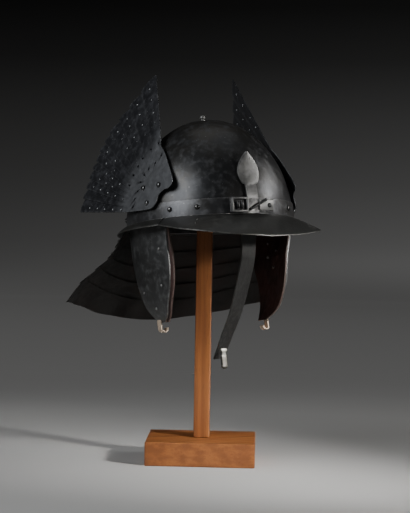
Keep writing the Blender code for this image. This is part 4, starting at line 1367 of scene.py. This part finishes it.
def make_strap(finish):
    made = new_mesh_maker()

    def point(across, share, depth):
        at, facing = strap_frame(share)
        width = STRAP_WIDTH + (STRAP_END_WIDTH - STRAP_WIDTH) * share
        curl = STRAP_CURL * across * across - STRAP_RIPPLE
        ripple = STRAP_RIPPLE * wobble(at + Vector((across * 0.01, 0, 0)), 40)
        edge = STRAP_RIPPLE * wobble(Vector((across * 3, share * 9, 0)), 2.0)
        return at + Vector((across * (width / 2 + edge), 0, 0)) + facing * (depth + curl + ripple)

    def worn(across, _):
        return WEAR["strap"] if abs(across) == 1 else 0.0

    rows = edged(0, 1, 90, STRAP_LENGTH)
    shell(made, point, edged(-1, 1, 9, STRAP_WIDTH), rows, STRAP_THICK, False, worn)
    return add_piece("hanging_strap", made, finish, ["chin_strap"], 0.0007)


def make_clasp(finish):
    """The metal end of the strap, with two raised bands and a rounded foot."""
    made = new_mesh_maker()
    layer = made.verts.layers.float["wear_and_highlight"]
    at, facing = strap_frame(CLASP_SHARE)
    middle = at.y + STRAP_THICK / facing.y - GAP - CLASP_THICK / 2
    rings = []
    for share in spaced(0, 1, 27):
        half = read(CLASP_TABLE, "width", share)
        half_width = half * CLASP_WIDTH
        half_depth = CLASP_THICK / 2 * min(1.0, 0.55 + half * 0.9)
        if share > CLASP_FOOT:
            half_depth *= math.sqrt(max(0.05, 1 - ((share - CLASP_FOOT) / 0.1) ** 2 * 0.9))
        ring = []
        for a in around(CLASP_SIDES):
            x = math.copysign(abs(math.cos(a)) ** CLASP_SQUARE, math.cos(a)) * half_width
            y = math.copysign(abs(math.sin(a)) ** CLASP_SQUARE, math.sin(a)) * half_depth
            ring.append(made.verts.new((STRAP_PLACE + x, middle + y, at.z - share * CLASP_LENGTH)))
            ring[-1][layer] = WEAR["clasp_band"] if half > CLASP_BAND else WEAR["clasp"]
        rings.append(ring)
    join_rings(made, rings)
    made.faces.new(rings[0])
    made.faces.new(rings[-1])
    return add_piece("strap_end", made, finish, ["strap_clasp"], 0.0)


# Stage


def stage_surface(name, made, finish):
    obj = loose_object(name, made)
    obj.data.materials.append(finish)
    obj.data.shade_smooth()


def tone_ramp(recipe, source, tones):
    ramp = recipe.tree.nodes.new("ShaderNodeValToRGB")
    elements = ramp.color_ramp.elements
    while len(elements) < len(tones):
        elements.new(0.5)
    for element, (place, tone) in zip(elements, tones):
        element.position = place
        element.color = (*(tone * tint for tint in TONE_TINT), 1)
    recipe.link(source, ramp.inputs["Fac"])
    return ramp.outputs["Color"]


def view_axes():
    """The camera's level directions: to its right and ahead."""
    right = Vector((math.cos(CAMERA_TURN), math.sin(CAMERA_TURN), 0))
    return right, Vector((-math.sin(CAMERA_TURN), math.cos(CAMERA_TURN), 0))


def make_floor():
    # The floor's colour and glow are a painted pool of light, brightest in front of the helmet and fading
    # with distance.
    recipe = Recipe("studio_floor", 0.0)
    distance = recipe.tree.nodes.new("ShaderNodeVectorMath")
    distance.operation = "DISTANCE"
    distance.inputs[1].default_value = view_axes()[1] * -FLOOR_POOL_CENTRE
    recipe.link(recipe.coordinates, distance.inputs[0])
    share = recipe.times(distance.outputs["Value"], 1 / FLOOR_REACH)
    recipe.link(tone_ramp(recipe, share, FLOOR_PAINTED_POOL), recipe.shader.inputs["Base Color"])
    recipe.link(tone_ramp(recipe, share, FLOOR_PAINTED_GLOW), recipe.shader.inputs["Emission Color"])
    recipe.shader.inputs["Emission Strength"].default_value = 1.0
    recipe.shader.inputs["Roughness"].default_value = FLOOR_ROUGHNESS
    recipe.shader.inputs["Specular IOR Level"].default_value = 0.0
    made = bmesh.new()
    bmesh.ops.create_circle(made, cap_ends=True, segments=STAGE_SIDES, radius=FLOOR_REACH)
    stage_surface("studio_floor", made, recipe.material)


def make_wall():
    """A round wall a long way off that only glows: a painted gradient of light, brightest low down like a
    paper sweep lit from below.
    """
    recipe = Recipe("studio_wall", 0.0)
    parts = recipe.tree.nodes.new("ShaderNodeSeparateXYZ")
    recipe.link(recipe.coordinates, parts.inputs["Vector"])
    tone = tone_ramp(recipe, recipe.times(parts.outputs["Z"], 1 / WALL_HEIGHT), WALL_PAINTED_GLOW)
    aside = recipe.tree.nodes.new("ShaderNodeVectorMath")
    aside.operation = "DOT_PRODUCT"
    aside.inputs[1].default_value = view_axes()[0]
    recipe.link(recipe.coordinates, aside.inputs[0])
    rise = recipe.between(aside.outputs["Value"], -WALL_SPAN, WALL_SPAN)
    for name, share in zip(("To Min", "To Max"), WALL_SHARES):
        recipe.link(recipe.between(parts.outputs["Z"], 0, WALL_FADE, 1, share), rise.node.inputs[name])
    scaled = recipe.tree.nodes.new("ShaderNodeVectorMath")
    scaled.operation = "SCALE"
    recipe.link(tone, scaled.inputs[0])
    recipe.link(rise, scaled.inputs["Scale"])
    recipe.shader.inputs["Base Color"].default_value = (0, 0, 0, 1)
    recipe.shader.inputs["Specular IOR Level"].default_value = 0.0
    recipe.link(scaled.outputs["Vector"], recipe.shader.inputs["Emission Color"])
    recipe.shader.inputs["Emission Strength"].default_value = 1.0
    made = bmesh.new()
    circle = [(FLOOR_REACH * math.cos(a), FLOOR_REACH * math.sin(a)) for a in around(STAGE_SIDES)]
    join_rings(made, [[made.verts.new((x, y, height)) for x, y in circle] for height in (0, WALL_HEIGHT)])
    stage_surface("studio_wall", made, recipe.material)


def add_lights():
    world = bpy.data.worlds.new("studio")
    world.use_nodes = True
    world.node_tree.nodes["Background"].inputs["Color"].default_value = (SKY, SKY, SKY, 1)
    bpy.context.scene.world = world
    for name, values in SOFTBOXES.items():
        box = dict(zip(SOFTBOX_KEYS, values))
        light = bpy.data.lights.new(f"{name}_softbox", "AREA")
        light.shape = "RECTANGLE"
        light.size, light.size_y = box["size"]
        light.energy = box["power"]
        light.color = box["colour"]
        obj = bpy.data.objects.new(light.name, light)
        bpy.context.scene.collection.objects.link(obj)
        turn, rise = math.radians(box["turn"]), math.radians(box["rise"])
        away = Vector((math.sin(turn) * math.cos(rise), -math.cos(turn) * math.cos(rise), math.sin(rise)))
        obj.location = AIM + away * box["away"]
        if name == "low":
            light.spread = LOW_SPREAD
            away = obj.location - LOW_AIM
        obj.rotation_euler = away.to_track_quat("Z", "Y").to_euler()


def add_camera():
    camera = bpy.data.cameras.new("camera")
    camera.lens = CAMERA_LENS
    obj = bpy.data.objects.new("camera", camera)
    bpy.context.scene.collection.objects.link(obj)
    right, level = view_axes()
    ahead = level * math.cos(CAMERA_TILT) - Vector((0, 0, math.sin(CAMERA_TILT)))
    up = right.cross(ahead)
    view = Matrix((right, up, -ahead)).transposed().to_4x4() @ Matrix.Rotation(CAMERA_ROLL, 4, "Z")
    view.translation = Vector((0, 0, CAMERA_HEIGHT)) - level * CAMERA_DISTANCE + right * CAMERA_ASIDE
    obj.matrix_world = view
    bpy.context.scene.camera = obj


def dress_stand():
    for node, along in (("stand_post", "z"), ("stand_base", "x")):
        finish = wood(f"{node}_wood", *WOOD_TONES, along)
        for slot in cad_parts[node].material_slots:
            slot.material = finish


def main():
    metals = {
        name: steel(f"{name}_steel", **dict(zip(STEEL_KEYS, values))) for name, values in STEELS.items()
    }
    hides = {name: leather(f"{name}_leather", *tones) for name, tones in LEATHERS.items()}

    make_skull(metals["dome"])
    make_band(metals["band"], metals["rivet"])
    make_peak(metals["peak"])
    make_rim(metals["peak"])
    make_finial(metals["bright"])
    make_leaf(metals["bright"])
    make_bracket(metals["bright"], metals["painted_shade"])
    for word, side in (("right", -1), ("left", 1)):
        make_wing(word, side, metals["wing"], metals["rivet"])
        make_cheek(word, side, metals["cheek"])
        make_lining(word, side, hides["cheek"], metals["bright"])
        make_loop(word, side, hides["tan"])
    for index in range(LAMES):
        make_lame(index, metals["guard"])
    make_strap(hides["strap"])
    make_clasp(metals["clasp"])
    dress_stand()
    make_floor()
    make_wall()
    add_lights()
    add_camera()


main()
